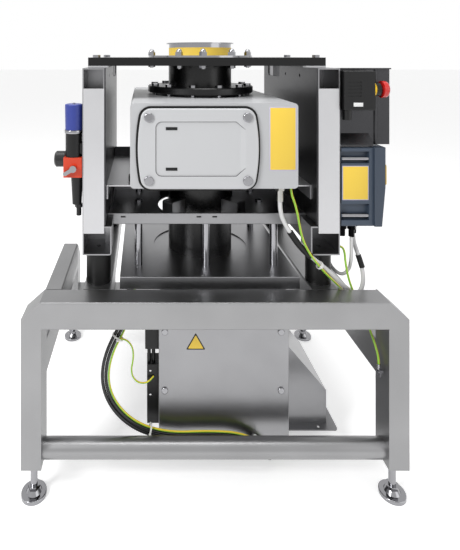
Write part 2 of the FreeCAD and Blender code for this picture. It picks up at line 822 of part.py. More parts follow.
def detector_cover():
    outer_w = cover_width + 2 * gasket_margin
    outer_h = cover_height + 2 * gasket_margin
    seat = barrel_plate(outer_w, outer_h, gasket_thickness, head_y, cover_corner + gasket_margin)
    window = barrel_plate(cover_width - 2 * gasket_band, cover_height - 2 * gasket_band,
                          gasket_thickness, head_y, cover_corner)
    add("cover_gasket", seat.cut(window))
    y = head_y - gasket_thickness
    cover = barrel_plate(cover_width, cover_height, cover_thickness, y, cover_corner)
    front = [e for e in cover.Edges if e.BoundBox.YMax < y - cover_thickness + 0.01]
    cover = cover.makeFillet(cover_edge, front).cut(cover_panel(y - cover_thickness))
    for sign in (-1, 1):
        left = cover_shift - slot_inner_x
        low = cover_z + sign * slot_z - slot_height / 2
        floor = y - cover_thickness + 2 * panel_depth
        slot = box(left, left + slot_length, floor - 2 * panel_depth, floor,
                   low, low + slot_height)
        cover = cover.cut(slot)
    add("detector_cover", cover)


def cover_panel(face_y):
    """The sunk panel, to be cut: round at the left, cut corners and a slope at the right."""
    x0 = cover_shift + panel_shift - panel_width / 2
    x1 = x0 + panel_width
    z0, z1 = cover_z - panel_height / 2, cover_z + panel_height / 2
    outline = [V(x0, face_y, z0), V(x1 - panel_cut_x, face_y, z0),
               V(x1, face_y, z0 + panel_cut_z), V(x1, face_y, z1 - panel_cut_z),
               V(x1 - panel_cut_x, face_y, z1), V(x0, face_y, z1)]
    sunk = prism(outline, V(0, panel_depth, 0))
    left = [e for e in edges_along(sunk, Y_AXIS) if e.BoundBox.XMax < x0 + 0.01]
    sunk = sunk.makeFillet(panel_corner, left)
    floor = face_y + panel_depth
    slope = prism([V(x1 - panel_slope, floor, z0), V(x1, floor, z0), V(x1, face_y, z0)],
                  V(0, 0, panel_height))
    return sunk.cut(slope)


def domed_screw(dia, height, base, axis):
    """A low round head, seated on its face."""
    head = rod(dia, height, base, axis)
    rim = [e for e in head.Edges if abs((e.CenterOfMass - base).dot(axis) - height) < 0.01]
    return head.makeFillet(height * 0.6, rim[:1])


def cover_screws():
    """The four screws of the detector cover and the four of the valve cover."""
    solids = []
    y = head_y - gasket_thickness - cover_thickness
    for sx in (-1, 1):
        for sz in (-1, 1):
            base = V(cover_shift + sx * cover_screw_x, y, cover_z + sz * cover_screw_z)
            solids.append(domed_screw(cover_screw_dia, cover_screw_height, base, -Y_AXIS))
    y = case_y - valve_cover_thickness
    left = case_left - valve_cover_margin + valve_screw_left
    right = case_right + valve_cover_margin - valve_screw_right
    for x in (left, right):
        for z in valve_screw_rows:
            solids.append(domed_screw(valve_screw_dia, valve_screw_height, V(x, y, z), -Y_AXIS))
    add("cover_screws", solids)


def head_brackets():
    """Angle shelves on the side plates; the head stands on them on rubber pads."""
    y0 = front_y + shelf_set_back
    y1 = 2 * axis_y - front_y - tray_front
    top = head_bottom - pad_height
    shelf = box(plate_inner_x - shelf_width, plate_inner_x, y0, y1, top - sheet, top)
    fold = box(plate_inner_x - sheet, plate_inner_x, y0, y1, top - shelf_fold, top)
    add("head_brackets", pair(fuse([shelf, fold])))


def rear_panel():
    """The cross panel behind the tray, with an ear up each side of the head."""
    y0 = 2 * axis_y - front_y - tray_front
    z0 = tray_floor
    room = head_width / 2 + ear_clearance
    panel = box(-plate_inner_x, plate_inner_x, y0, y0 + sheet, z0, z0 + rear_panel_height)
    panel = panel.cut(box(-room, room, y0 - 1, y0 + sheet + 1,
                          head_bottom - pad_height - sheet, z0 + rear_panel_height + 1))
    for x in (-rear_hole_x, rear_hole_x):
        panel = panel.cut(rod(rear_hole_dia, 3 * sheet, V(x, y0 - sheet, rear_hole_z), Y_AXIS))
    add("rear_panel", panel)


# ---------------------------------------------------------------- tray, spacers, lower plate
def pan(half_x, y0, y1, z0, z1, hole_dia, edges_up):
    """A sheet with its four edges folded up or down and a round hole for the pipe."""
    outer = box(-half_x, half_x, y0, y1, z0, z1)
    low, high = (z0 + sheet, z1 + 1) if edges_up else (z0 - 1, z1 - sheet)
    room = box(-half_x + sheet, half_x - sheet, y0 + sheet, y1 - sheet, low, high)
    hole = rod(hole_dia, z1 - z0, V(0, axis_y, z0))
    return rounded(outer, pan_edge, X_AXIS).cut(room).cut(hole)


def tray():
    y0 = front_y + tray_front
    y1 = 2 * axis_y - y0
    shape = pan(plate_inner_x, y0, y1, tray_floor, tray_top, tray_hole_dia, True)
    for x in tray_slot_xs:
        top = tray_top - tray_slot_drop
        shape = shape.cut(box(x - tray_slot_width / 2, x + tray_slot_width / 2, y0 - 1,
                              y0 + sheet + 1, top - tray_slot_height, top))
    for x in (-spacer_x, spacer_x):
        shape = shape.cut(rod(bolt_dia, sheet, at(x, tray_bolt_set_back, tray_floor)))
    solids = []
    for y in (front_y + spacer_set_back, 2 * axis_y - front_y - spacer_set_back):
        for x in (-spacer_x, 0.0, spacer_x):
            post = rod(spacer_dia, tray_floor - lower_plate_top, V(x, y, lower_plate_top))
            stud = rod(bolt_dia, sheet, V(x, y, tray_floor))
            shape = shape.cut(stud)
            solids.append(fuse([post, stud, acorn_nut(V(x, y, tray_seat))]))
    add("tray", shape)
    add("spacers", solids)
    y0 = front_y + lower_plate_front
    add("lower_plate", pan(lower_plate_width / 2, y0, 2 * axis_y - y0,
                           lower_plate_top - lower_plate_lip, lower_plate_top,
                           lower_hole_dia, False))


def pipe_clamps():
    """Four lugs that stand on the tray and hold the pipe, at the quarters between the axes."""
    solids = []
    for angle in (45.0, 135.0, 225.0, 315.0):
        lug = box(pipe_radius - 4, clamp_reach, axis_y - clamp_width / 2,
                  axis_y + clamp_width / 2, tray_seat, tray_seat + clamp_height)
        lug = rounded(lug, clamp_edge, Y_AXIS)
        lug.rotate(V(0, axis_y, 0), Z_AXIS, angle)
        solids.append(lug.cut(rod(pipe_outer_dia, clamp_height, V(0, axis_y, tray_seat))))
    add("pipe_clamps", solids)


# ---------------------------------------------------------------- reject valve
def valve_body():
    """The square duct with its top flange, round outlet and mechanism case."""
    w = duct_wall
    flange_half = valve_flange_width / 2
    flange_low = valve_top - valve_flange_thickness
    duct = box(-duct_half, duct_half, duct_front_y, axis_y + duct_half, duct_bottom, flange_low)
    room = box(-duct_half + w, duct_half - w, duct_front_y + w, axis_y + duct_half - w,
               duct_bottom + w, flange_low + 1)
    door = box(duct_half - 2 * w, duct_half + w, duct_front_y + w + 6, axis_y + duct_half - w - 6,
               flap_axis_z, chute_head - 10)
    flange = box(-flange_half, flange_half, axis_y - flange_half, axis_y + flange_half,
                 flange_low, valve_top)
    flange = flange.cut(rod(pipe_outer_dia - 2 * pipe_wall, valve_flange_thickness,
                            V(0, axis_y, flange_low)))
    outlet_z = duct_bottom - outlet_length
    bore = outlet_dia - 2 * inlet_wall
    outlet = ring(outlet_dia, bore, outlet_length, V(0, axis_y, outlet_z))
    case = box(case_left, case_right, case_y, duct_front_y, case_bottom, case_top)
    case = case.cut(box(case_left + case_wall, case_right - case_wall, case_y - 1,
                        duct_front_y - case_wall, case_bottom + case_wall, case_top - case_wall))
    bearings = []
    for y in (duct_front_y - bearing_length, axis_y + duct_half):
        bearings.append(rod(bearing_dia, bearing_length, V(flap_axis_x, y, flap_axis_z), Y_AXIS))
    body = fuse([duct.cut(room).cut(door), flange, outlet, case] + bearings)
    body = body.cut(rod(bore, duct_wall * 2, V(0, axis_y, duct_bottom - 1)))
    shaft = rod(shaft_dia + 2 * shaft_clearance, duct_width + 4 * bearing_length,
                V(flap_axis_x, duct_front_y - 2 * bearing_length, flap_axis_z), Y_AXIS)
    add("valve_body", body.cut(shaft))


def valve_cover():
    m = valve_cover_margin
    cover = box(case_left - m, case_right + m, case_y - valve_cover_thickness, case_y,
                case_bottom - m, case_top - 3)
    add("valve_cover", rounded(cover, 2.0, Z_AXIS))


def reject_chute():
    """A hood with a sloping roof, open to the duct and below, with a bottom lip."""
    y0 = duct_front_y + 5
    depth = duct_width - 10
    outline = [V(duct_half, y0, chute_bottom), V(chute_reach, y0, chute_bottom),
               V(chute_reach, y0, chute_eave), V(duct_half, y0, chute_head)]
    outer = prism(outline, V(0, depth, 0))
    face = Part.Face(Part.makePolygon(outline + outline[:1]))
    inner = face.makeOffset2D(-chute_wall, 2).extrude(V(0, depth - 2 * chute_wall, 0))
    inner.translate(V(0, chute_wall, 0))
    low = box(duct_half + chute_wall, chute_reach - chute_wall, y0 + chute_wall,
              y0 + depth - chute_wall, chute_bottom - 1, chute_bottom + 2 * chute_wall)
    side = inner.copy()
    side.translate(V(-2 * chute_wall, 0, 0))
    hood = outer.cut(inner).cut(low).cut(side)
    lip_z = chute_bottom - chute_lip_thickness
    lip = box(duct_half, chute_reach + chute_lip, y0 - chute_lip, y0 + depth + chute_lip,
              lip_z, chute_bottom)
    lip = rounded(lip, 8.0, Z_AXIS)
    lip = lip.cut(box(duct_half - 1, chute_reach - chute_wall, y0 + chute_wall,
                      y0 + depth - chute_wall, lip_z - 1, chute_bottom + 1))
    middle = chute_lip / 2
    for x in (duct_half + 60, chute_reach - 25):
        for y in (y0 - middle, y0 + depth + middle):
            lip = lip.cut(rod(chute_hole_dia, 3 * chute_lip_thickness,
                              V(x, y, lip_z - chute_lip_thickness)))
    add("reject_chute", fuse([hood, lip]))


def reject_flap():
    """The diverter flap with its shaft, which runs forward into the actuator."""
    y0 = duct_front_y + duct_wall + flap_side_gap
    y1 = axis_y + duct_half - duct_wall - flap_side_gap
    blade = box(flap_axis_x - flap_thickness / 2, flap_axis_x + flap_thickness / 2, y0, y1,
                flap_axis_z, flap_axis_z + flap_length)
    hub = rod(shaft_dia + 6, y1 - y0, V(flap_axis_x, y0, flap_axis_z), Y_AXIS)
    shaft_y0 = duct_front_y - bearing_length - actuator_depth
    shaft = rod(shaft_dia, axis_y + duct_half + bearing_length - shaft_y0,
                V(flap_axis_x, shaft_y0, flap_axis_z), Y_AXIS)
    key = box(flap_axis_x - shaft_dia / 2, flap_axis_x + shaft_dia / 2, shaft_y0 - 8, shaft_y0,
              flap_axis_z - 3, flap_axis_z + 3)
    add("reject_flap", fuse([blade, hub, shaft, key]))
    swing = math.degrees(math.asin((duct_half - duct_wall + flap_axis_x - 6) / flap_length))
    print("reject flap can swing %.1f degrees" % swing)


def actuator():
    """The rotary actuator on the flap shaft."""
    y1 = duct_front_y - bearing_length
    y0 = y1 - actuator_depth
    left = flap_axis_x - actuator_width / 2
    body = box(left, left + actuator_width, y0, y1,
               flap_axis_z - actuator_height / 2, flap_axis_z + actuator_height / 2)
    body = rounded(body, actuator_edge, Y_AXIS)
    caps = []
    for x in (left - actuator_cap, left + actuator_width):
        caps.append(rod(actuator_depth - actuator_edge, actuator_cap,
                        V(x, (y0 + y1) / 2, flap_axis_z), X_AXIS))
    body = fuse([body] + caps)
    bore = rod(shaft_dia + 2 * shaft_clearance, actuator_depth + 2,
               V(flap_axis_x, y0 - 1, flap_axis_z), Y_AXIS)
    add("rotary_actuator", body.cut(bore))


def solenoid_valve():
    """The solenoid valve outside the case, with its ports and its bracket below."""
    x1, y = case_left, case_y + solenoid_set_back
    block = box(x1 - solenoid_width, x1, y, y + solenoid_depth, solenoid_z,
                solenoid_z + solenoid_height)
    block = rounded(block, sheet, Z_AXIS)
    ports = []
    for k in range(2):
        x = x1 - port_inset - k * port_pitch
        ports.append(rod(port_dia, solenoid_z - bracket_top, V(x, y + port_depth, bracket_top)))
    left = x1 - bracket_width
    face = box(left, x1, y, y + sheet, bracket_bottom, bracket_top)
    flange = box(left, left + sheet, y, y + bracket_flange, bracket_bottom, bracket_top)
    bracket = fuse([face, flange] + [box(left, x1, y, y + bracket_flange,
                                         bracket_top - sheet, bracket_top)])
    for z in bracket_hole_zs:
        bracket = bracket.cut(rod(bracket_hole_dia, sheet, V(x1 - bracket_hole_x, y, z), Y_AXIS))
    add("solenoid_valve", [fuse([block] + ports), bracket])


# ---------------------------------------------------------------- electrical boxes
def control_box():
    """The box with a pocket and a bar above and below, and the cover on its outer end."""
    y0 = front_y + control_front
    y1 = y0 + control_depth
    z0, z1 = control_bottom, control_bottom + control_height
    body = rounded(box(box_x, cover_seat_x, y0, y1, z0, z1), control_edge, X_AXIS)
    mount = box(column_outer_x, box_x, y0 + mount_inset, y0 + column_depth - mount_inset,
                z0 + mount_inset, z1 - mount_inset)
    handles = []
    for rise, height in pockets:
        for low_y in (y0, y1 - pocket_depth):
            room = box(box_x, cover_seat_x - pocket_end, low_y, low_y + pocket_depth,
                       z0 + rise, z0 + rise + height)
            body = body.cut(room)
            handles.append(rod(handle_dia, control_width - pocket_end,
                               V(box_x, low_y + pocket_depth / 2, z0 + rise + handle_rise),
                               X_AXIS))
    add("control_box", fuse([body, mount] + handles))
    low = z0 + control_cover_rise
    high = z1 + control_cover_over
    outline = [V(cover_seat_x, y0 - control_cover_margin, low),
               V(switch_face_x - control_cover_taper, y0 - control_cover_margin, low),
               V(switch_face_x, y0 - control_cover_margin, (z0 + z1) / 2),
               V(switch_face_x, y0 - control_cover_margin, high),
               V(cover_seat_x, y0 - control_cover_margin, high)]
    cover = prism(outline, V(0, control_depth + 2 * control_cover_margin, 0))
    outer = [e for e in edges_along(cover, Z_AXIS) if e.BoundBox.XMin > switch_face_x - 0.1]
    add("control_box_cover", cover.makeFillet(control_cover_edge, outer))


def main_switch():
    """The switch's square plate and its turning knob."""
    y, z = front_y + switch_set_back, switch_z
    half = switch_plate_size / 2
    plate = box(switch_face_x, switch_face_x + switch_plate_thickness, y - half, y + half,
                z - half, z + half)
    add("switch_plate", rounded(plate, 4.0, X_AXIS))
    x0 = switch_face_x + switch_plate_thickness + running_gap
    disc = rod(switch_knob_dia, 2.5, V(x0, y, z), X_AXIS)
    grip = box(x0, x0 + switch_knob_height, y - switch_grip_width / 2, y + switch_grip_width / 2,
               z - switch_knob_dia / 2 + 3, z + switch_knob_dia / 2 - 3)
    add("switch_knob", fuse([disc, rounded(grip, 2.0, X_AXIS)]))


def wall_plate():
    """The upright plate beside the right column, with a bead, a top fold and a roof."""
    y = front_y + wall_plate_set_back
    plate = box(column_outer_x, wall_plate_reach, y, y + sheet, wall_plate_bottom, wall_plate_top)
    top = box(column_outer_x, wall_plate_reach, y - top_fold_depth, y,
              wall_plate_top - sheet, wall_plate_top)
    bead = rod(wall_plate_bead, wall_plate_top - wall_plate_bottom - sheet,
               V(wall_plate_bead_x, y, wall_plate_bottom))
    bead = bead.cut(box(column_outer_x, wall_plate_reach, y + sheet / 2, y + wall_plate_bead,
                        wall_plate_bottom, wall_plate_top))
    low = control_bottom + control_height + roof_gap
    roof = prism([V(box_x, y, low + roof_rise), V(box_x, front_y + roof_front, low),
                  V(box_x, front_y + roof_front, low + sheet), V(box_x, y, low + roof_rise + sheet)],
                 V(cover_seat_x - box_x, 0, 0))
    add("wall_plate", fuse([plate, top, bead, roof]))


def emergency_stop():
    """The box on the wall plate, the collar on its outer end, the stem and the mushroom."""
    y0 = front_y + estop_box_front
    y1 = front_y + wall_plate_set_back
    z0, z1 = estop_box_bottom, estop_box_bottom + estop_box_height
    case = rounded(box(box_x, estop_face_x, y0, y1, z0, z1), estop_box_edge, X_AXIS)
    for k in range(estop_rib_count):
        z = z0 + estop_rib_start + estop_rib_pitch * k
        left = box_x + estop_rib_inset
        case = case.cut(box(left, left + estop_rib_length, y0, y0 + estop_rib_depth,
                            z, z + estop_rib_gap))
    y, z = front_y + estop_set_back, estop_z
    bezel = rod(estop_ring_dia, estop_ring_width, V(estop_face_x, y, z), X_AXIS)
    x = estop_face_x + estop_ring_width
    collar = rod(estop_collar_dia, estop_collar_width, V(x, y, z), X_AXIS)
    well = rod(estop_stem_dia + 2 * running_gap, estop_stem_length - 1,
               V(x + estop_collar_width - estop_stem_length + 1, y, z), X_AXIS)
    gland = rod(estop_gland_dia, estop_gland_length,
                V(box_x + estop_gland_x, y, z0 - estop_gland_length))
    add("estop_box", fuse([case, bezel, collar, gland]).cut(well))
    head_x = x + estop_collar_width + estop_travel + running_gap
    stem_start = x + estop_collar_width - estop_stem_length + estop_travel + running_gap + 1
    stem = rod(estop_stem_dia, head_x + estop_stem_seat - stem_start, V(stem_start, y, z), X_AXIS)
    add("estop_stem", stem)
    head = rod(mushroom_dia, mushroom_width, V(head_x, y, z), X_AXIS)
    far = [e for e in head.Edges if e.BoundBox.XMin > head_x + mushroom_width - 0.01]
    head = head.makeFillet(mushroom_edge, far[:1])
    socket = rod(estop_stem_dia + 2 * shaft_clearance, estop_stem_seat, V(head_x, y, z), X_AXIS)
    add("estop_button", head.cut(socket))


def glands():
    """Cable glands under the head, under the control box and under the valve case."""
    solids = []
    nut_height = 10.0
    y = front_y + head_gland_set_back
    body = rod(gland_dia * 0.72, gland_length, V(head_gland_x, y, head_bottom - gland_length))
    nut = hexagon(gland_dia, nut_height, V(head_gland_x, y, head_bottom - nut_height))
    solids.append(fuse([body, nut]))
    for x, set_back, dia in box_gland_places:
        low = V(x, front_y + set_back, control_bottom - box_gland_length)
        body = rod(dia * 0.75, box_gland_length, low)
        nut = hexagon(dia, nut_height + 2, low + Z_AXIS * (box_gland_length - nut_height - 2))
        solids.append(fuse([body, nut]))
    for x, set_back, top in bundle_glands:
        low = V(x, front_y + set_back, top - bundle_gland_length)
        solids.append(rod(bundle_gland_dia, bundle_gland_length, low))
    add("cable_glands", solids)


box_gland_places = ((320.0, 88.0, 24.0), (341.0, 80.0, 18.0), (356.0, 104.0, 20.0))
bundle_glands = ((-188.0, 132.0, lower_plate_top - sheet), (160.0, 128.0, case_bottom))


# ---------------------------------------------------------------- air service unit
def service_unit():
    """Regulator with its knob, the block with gauge and shut-off lever, and the filter bowl."""
    x, y = -service_x, front_y + service_set_back
    collar_z = knob_bottom - collar_height
    bonnet_z = collar_z - bonnet_height
    bowl_top = bonnet_z - manifold_height
    bowl_z = bowl_top - bowl_height
    strip_z = collar_z - strip_height
    strip = box(x, -column_outer_x, y - strip_width / 2, y + strip_width / 2,
                strip_z - strip_height, strip_z)
    bonnet = rod(bonnet_dia, bonnet_height, V(x, y, bonnet_z))
    collar = rod(collar_dia, collar_height - running_gap, V(x, y, collar_z))
    add("regulator", fuse([strip, bonnet, collar]))
    bowl = cone(bowl_end_dia, bowl_dia, bowl_height, V(x + bowl_offset, y, bowl_z))
    drain_x = x + drain_offset
    drain = rod(drain_dia, drain_height, V(drain_x, y, bowl_z - drain_height))
    drain_nut = hexagon(drain_dia + 5, drain_nut_height, V(drain_x, y, bowl_z - drain_nut_height))
    add("filter_bowl", fuse([bowl, drain, drain_nut]))
    knob = cone(knob_dia - 2, knob_dia, knob_height, V(x, y, knob_bottom))
    knob = knob.makeFillet(sheet, [e for e in knob.Edges
                                   if e.BoundBox.ZMin > knob_bottom + knob_height - 1])
    add("regulator_knob", knob)
    left = x - manifold_width / 2
    half = manifold_depth / 2
    block = box(left, left + manifold_width, y - half, y + half, bowl_top, bonnet_z)
    block = rounded(block, sheet, Z_AXIS)
    gauge = rod(gauge_dia, gauge_length, V(left - gauge_length, y + gauge_offset,
                                           bonnet_z - gauge_drop), X_AXIS)
    gauge = gauge.makeChamfer(gauge_edge, [e for e in gauge.Edges
                                           if e.BoundBox.XMax < left - gauge_length + 0.1])
    lever_x, lever_z = x + valve_stub_x, bowl_top + valve_stub_rise
    boss = rod(valve_stub_dia, valve_stub_length,
               V(lever_x, y - half - valve_stub_length, lever_z), Y_AXIS)
    add("shutoff_valve", fuse([block, gauge, boss]))
    front = y - half - valve_stub_length - running_gap
    bar = box(lever_x - handle_length, lever_x + handle_height / 2, front - handle_thickness,
              front, lever_z - handle_height / 2, lever_z + handle_height / 2)
    bar = rounded(bar, sheet, Y_AXIS)
    hub = rod(valve_stub_dia, handle_thickness + 2,
              V(lever_x, front - handle_thickness - 2, lever_z), Y_AXIS)
    lever = fuse([bar, hub])
    lever.rotate(V(lever_x, y, lever_z), Y_AXIS, -handle_turn)
    add("shutoff_handle", lever)


# ---------------------------------------------------------------- cords
def earth_stud():
    """The stud on the inner side of the right leg, with the lug of the earth wire on it."""
    y = front_y + leg_depth / 2
    stud = rod(lug_dia, lug_reach, V(leg_inner_x - lug_reach, y, earth_stud_z), X_AXIS)
    lug = box(leg_inner_x - 10, leg_inner_x - 6, y - lug_dia, y + lug_dia,
              earth_stud_z - lug_dia, earth_stud_z + lug_dia)
    barrel = rod(lug_dia, lug_reach, V(leg_inner_x - 8, y, earth_stud_z + 6))
    return fuse([stud, lug, barrel])


def cords():
    gland_low = head_bottom - gland_length
    box_low = control_bottom - box_gland_length
    cord("detector_cable", [
        at(157, 40, gland_low), at(157, 40, 642), at(171, 40, 612), at(190, 40, 583),
        at(211, 41, 556), at(238, 43, 533), at(265, 47, 511), at(293, 55, 485),
        at(320, 70, 457), at(350, 92, 432), at(373, 124, 412), at(369, 163, 401),
        at(338, 184, 394), at(308, 163, 389), at(306, 126, 388), at(332, 100, 397),
        at(360, 88, 423), at(373, 84, 457), at(371, 88, 494), at(362, 96, 530),
        at(356, 104, 554), at(356, 104, box_low)], signal_cable_dia)
    cord("loop_cable", [
        at(341, 80, box_low), at(341, 80, 546), at(342, 82, 516), at(339, 88, 488),
        at(326, 98, 470), at(312, 116, 476), at(306, 138, 494), at(301, 160, 516),
        at(286, 178, 540), at(269, 184, 552), at(252.5, 184, 552)], loop_cable_dia)
    cord("earth_wire_head", [
        at(179, 30, head_bottom), at(180, 30, 690), at(187, 30, 672), at(194, 30, 646),
        at(199, 30, 616), at(206, 31, 586), at(220, 33, 556), at(241, 36, 527),
        at(264, 42, 501), at(289, 53, 476), at(311, 69, 453), at(326, 90, 436),
        at(329, 112, 427), at(318, 125, 425), at(303, 125, 425)], earth_dia)
    cord("earth_wire_leg", [
        at(304.3, 72, 552), at(313, 72, 552), at(321, 72, 542), at(323, 71, 510),
        at(330, 70, 474), at(341, 71, 444), at(356, 74, 410), at(372, 74, 378),
        at(380, 66, 352), at(382, 48, 332), at(381, 30, 314), at(381, 30, 299)], earth_dia)
    bundle()


def beside(points, shift):
    """The same route moved sideways in the XZ plane, to lie beside the first."""
    moved = []
    side = X_AXIS
    for k, point in enumerate(points):
        before = points[max(k - 1, 0)]
        after = points[min(k + 1, len(points) - 1)]
        along = V(after.x - before.x, 0, after.z - before.z).normalize()
        normal = V(-along.z, 0, along.x)
        side = normal if normal.dot(side) >= 0 else normal * -1
        moved.append(point + side * shift)
    return moved


def bundle():
    """Two hoses and an earth wire that hang side by side in front of the valve cover."""
    gx, g_back, g_top = bundle_glands[0]
    cx, c_back, c_top = bundle_glands[1]
    top = g_top - bundle_gland_length
    end = c_top - bundle_gland_length
    route = [at(gx, g_back, top), at(gx, g_back, 432), at(gx - 2, g_back - 8, 402),
             at(-198, 108, 368), at(-216, 92, 336), at(-236, 82, 304), at(-249, 77, 266),
             at(-251, 73, 226), at(-238, 70, 186), at(-208, 68, 149), at(-168, 67, 123),
             at(-122, 66, 110), at(-76, 66, 105), at(-30, 66, 107), at(16, 66, 107),
             at(60, 66, 104), at(98, 67, 91), at(128, 70, 67), at(150, 82, 40),
             at(cx, 104, 22), at(cx, c_back, 28), at(cx, c_back, end)]
    cord("valve_hose", beside(route, -8.6), hose_dia)
    cord("valve_cable", route, hose_dia)
    cord("valve_earth_wire", beside(route, 7.1), earth_dia)
    cord("bracket_earth_wire", [
        at(-222, 78, 324), at(-212, 78, 327), at(-199, 79, 322), at(-188, 81, 308),
        at(-184, 83, 288), at(-186, 85, 266), at(-190, 87, 246), at(-186, 89, 226),
        at(-173, 91, 212), at(-156, 93, 209), at(-143, 96, 214),
        at(-135, 102, 220)], thin_earth_dia)


stand()
feet()
dampers()
columns()
top_plate()
inlet_pipe()
product_pipe()
line_bolts()
detector_head()
detector_cover()
cover_screws()
head_brackets()
rear_panel()
tray()
pipe_clamps()
valve_body()
valve_cover()
reject_chute()
reject_flap()
actuator()
solenoid_valve()
control_box()
main_switch()
wall_plate()
emergency_stop()
glands()
service_unit()
cords()

os.makedirs("parts", exist_ok=True)
for name, shape in parts.items():
    shape.exportStep("parts/%s.step" % name)
print(len(parts), "nodes")
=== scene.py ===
# %% [markdown]
# A gravity-feed metal detector on a welded stainless stand. The CAD model is loaded
# first and stays as it is: Blender adds the surfaces, the cords and the small trim.

import math

import bmesh
import bpy
from mathutils import Matrix, Vector


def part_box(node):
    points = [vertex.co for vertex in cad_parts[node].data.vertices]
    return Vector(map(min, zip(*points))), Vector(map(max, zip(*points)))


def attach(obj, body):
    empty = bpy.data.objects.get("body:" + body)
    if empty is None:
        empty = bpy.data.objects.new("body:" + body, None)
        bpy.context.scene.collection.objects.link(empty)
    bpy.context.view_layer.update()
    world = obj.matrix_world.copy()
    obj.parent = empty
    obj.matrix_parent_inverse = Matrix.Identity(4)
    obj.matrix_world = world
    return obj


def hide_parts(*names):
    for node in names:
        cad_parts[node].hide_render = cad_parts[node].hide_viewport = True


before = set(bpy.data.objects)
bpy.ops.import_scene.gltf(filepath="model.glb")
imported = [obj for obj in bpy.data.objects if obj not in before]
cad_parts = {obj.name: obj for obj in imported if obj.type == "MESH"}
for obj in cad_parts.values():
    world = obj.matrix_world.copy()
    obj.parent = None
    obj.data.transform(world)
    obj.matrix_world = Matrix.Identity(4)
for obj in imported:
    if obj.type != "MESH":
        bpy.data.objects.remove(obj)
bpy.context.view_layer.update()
MM = 0.001
FRONT = -323.0               # front plane of the stand, mm
print("CAD nodes:", len(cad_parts))


def mm(x, y, z):
    return Vector((x, y, z)) * MM


def at(x, set_back, z):
    """A point given by its distance behind the front plane, in mm."""
    return mm(x, FRONT + set_back, z)


def low(node):
    return Vector(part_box(node)[0])


def high(node):
    return Vector(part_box(node)[1])


def link(obj):
    bpy.context.collection.objects.link(obj)
    return obj


# %% [markdown]
# The camera stands level and straight on, a little left of the middle and close to the
# machine. A level camera keeps uprights parallel, and the lens shift moves the crop down
# to the feet, as an architect's camera does, so the camera itself needn't tilt.

# %% Camera
SENSOR = 36.0                # long side of the sensor, mm
LENS = 29.834                # focal length, mm
SHIFT_X, SHIFT_Y = 0.1591, -0.4          # as shares of the sensor's long side
CAMERA_AT = (-162.4, -1341.6, 1009.3)    # mm
NEAREST, FARTHEST = 0.05, 100.0          # what the camera sees, m

camera_data = bpy.data.cameras.new("camera")
camera = link(bpy.data.objects.new("camera", camera_data))
camera_data.sensor_width = SENSOR
camera_data.lens = LENS
camera_data.shift_x, camera_data.shift_y = SHIFT_X, SHIFT_Y
camera_data.clip_start, camera_data.clip_end = NEAREST, FARTHEST
camera.location = mm(*CAMERA_AT)
camera.rotation_euler = (math.radians(90), 0, 0)
bpy.context.scene.camera = camera
print("lens %.1f mm" % camera_data.lens)

# %% [markdown]
# Every finish is built from the same few nodes: a Principled shader, a noise pattern in
# object space that varies its roughness, and a bump from a finer or stretched noise. One
# small function adds a node, sets it and links it, so each finish reads as a short recipe.

# %% Material helpers
MIX_FACTOR, MIX_FIRST, MIX_SECOND, MIX_RESULT = 0, 6, 7, 2   # a colour mix node's sockets
CLOUDS = 9.0                 # scale of the broad noise: patches about 110 mm wide
NOISE_LOW, NOISE_HIGH = 0.3, 0.7         # where most of a noise texture's values lie
BUMP_GAIN, BUMP_HEIGHT = 5, 0.0004       # strength per unit of bump, and its height in m


def linear(code):
    """An sRGB hex code as a linear colour."""
    parts = [int(code[k:k + 2], 16) / 255 for k in (1, 3, 5)]
    return tuple(c / 12.92 if c <= 0.04045 else ((c + 0.055) / 1.055) ** 2.4
                 for c in parts) + (1.0,)


def node(tree, kind, settings=(), links=()):
    """Adds a node, sets its fields (small letters) or sockets, and links its inputs."""
    made = tree.nodes.new(kind)
    for name, value in dict(settings).items():
        if isinstance(name, str) and name[0].islower():
            setattr(made, name, value)
        else:
            made.inputs[name].default_value = value
    for name, source in dict(links).items():
        tree.links.new(source, made.inputs[name])
    return made


def finish(name, colour, metallic=0.0, roughness=0.4, vary=0.08, grain=2.0,
           stretch=(1, 1, 1), bump=0.02, shade=0.06, coat=0.0, specular=0.5):
    """A surface: grain in mm, stretch along the brushing, shade as colour variation."""
    clean = linear(colour)
    cloudy = tuple(c * (1 - 3 * shade) for c in clean[:3]) + (1.0,)
    material = bpy.data.materials.new(name)
    material.use_nodes = True
    tree = material.node_tree
    shader = tree.nodes["Principled BSDF"]
    shader.inputs["Metallic"].default_value = metallic
    shader.inputs["Coat Weight"].default_value = coat
    shader.inputs["Specular IOR Level"].default_value = specular
    place = node(tree, "ShaderNodeTexCoord")
    mapping = node(tree, "ShaderNodeMapping", {"Scale": stretch},
                   {"Vector": place.outputs["Object"]})
    fine = node(tree, "ShaderNodeTexNoise", {"Scale": 1000.0 / grain, "Detail": 3.0},
                {"Vector": mapping.outputs["Vector"]})
    broad = node(tree, "ShaderNodeTexNoise", {"Scale": CLOUDS, "Detail": 2.0},
                 {"Vector": place.outputs["Object"]})
    mix = node(tree, "ShaderNodeMix",
               {"data_type": "RGBA", MIX_FIRST: clean, MIX_SECOND: cloudy},
               {MIX_FACTOR: broad.outputs["Fac"]})
    tree.links.new(mix.outputs[MIX_RESULT], shader.inputs["Base Color"])
    rough = node(tree, "ShaderNodeMapRange",
                 {"From Min": NOISE_LOW, "From Max": NOISE_HIGH,
                  "To Min": roughness - vary, "To Max": roughness + vary},
                 {"Value": fine.outputs["Fac"]})
    tree.links.new(rough.outputs["Result"], shader.inputs["Roughness"])
    ridge = node(tree, "ShaderNodeBump", {"Strength": bump * BUMP_GAIN, "Distance": BUMP_HEIGHT},
                 {"Height": fine.outputs["Fac"]})
    tree.links.new(ridge.outputs["Normal"], shader.inputs["Normal"])
    return material


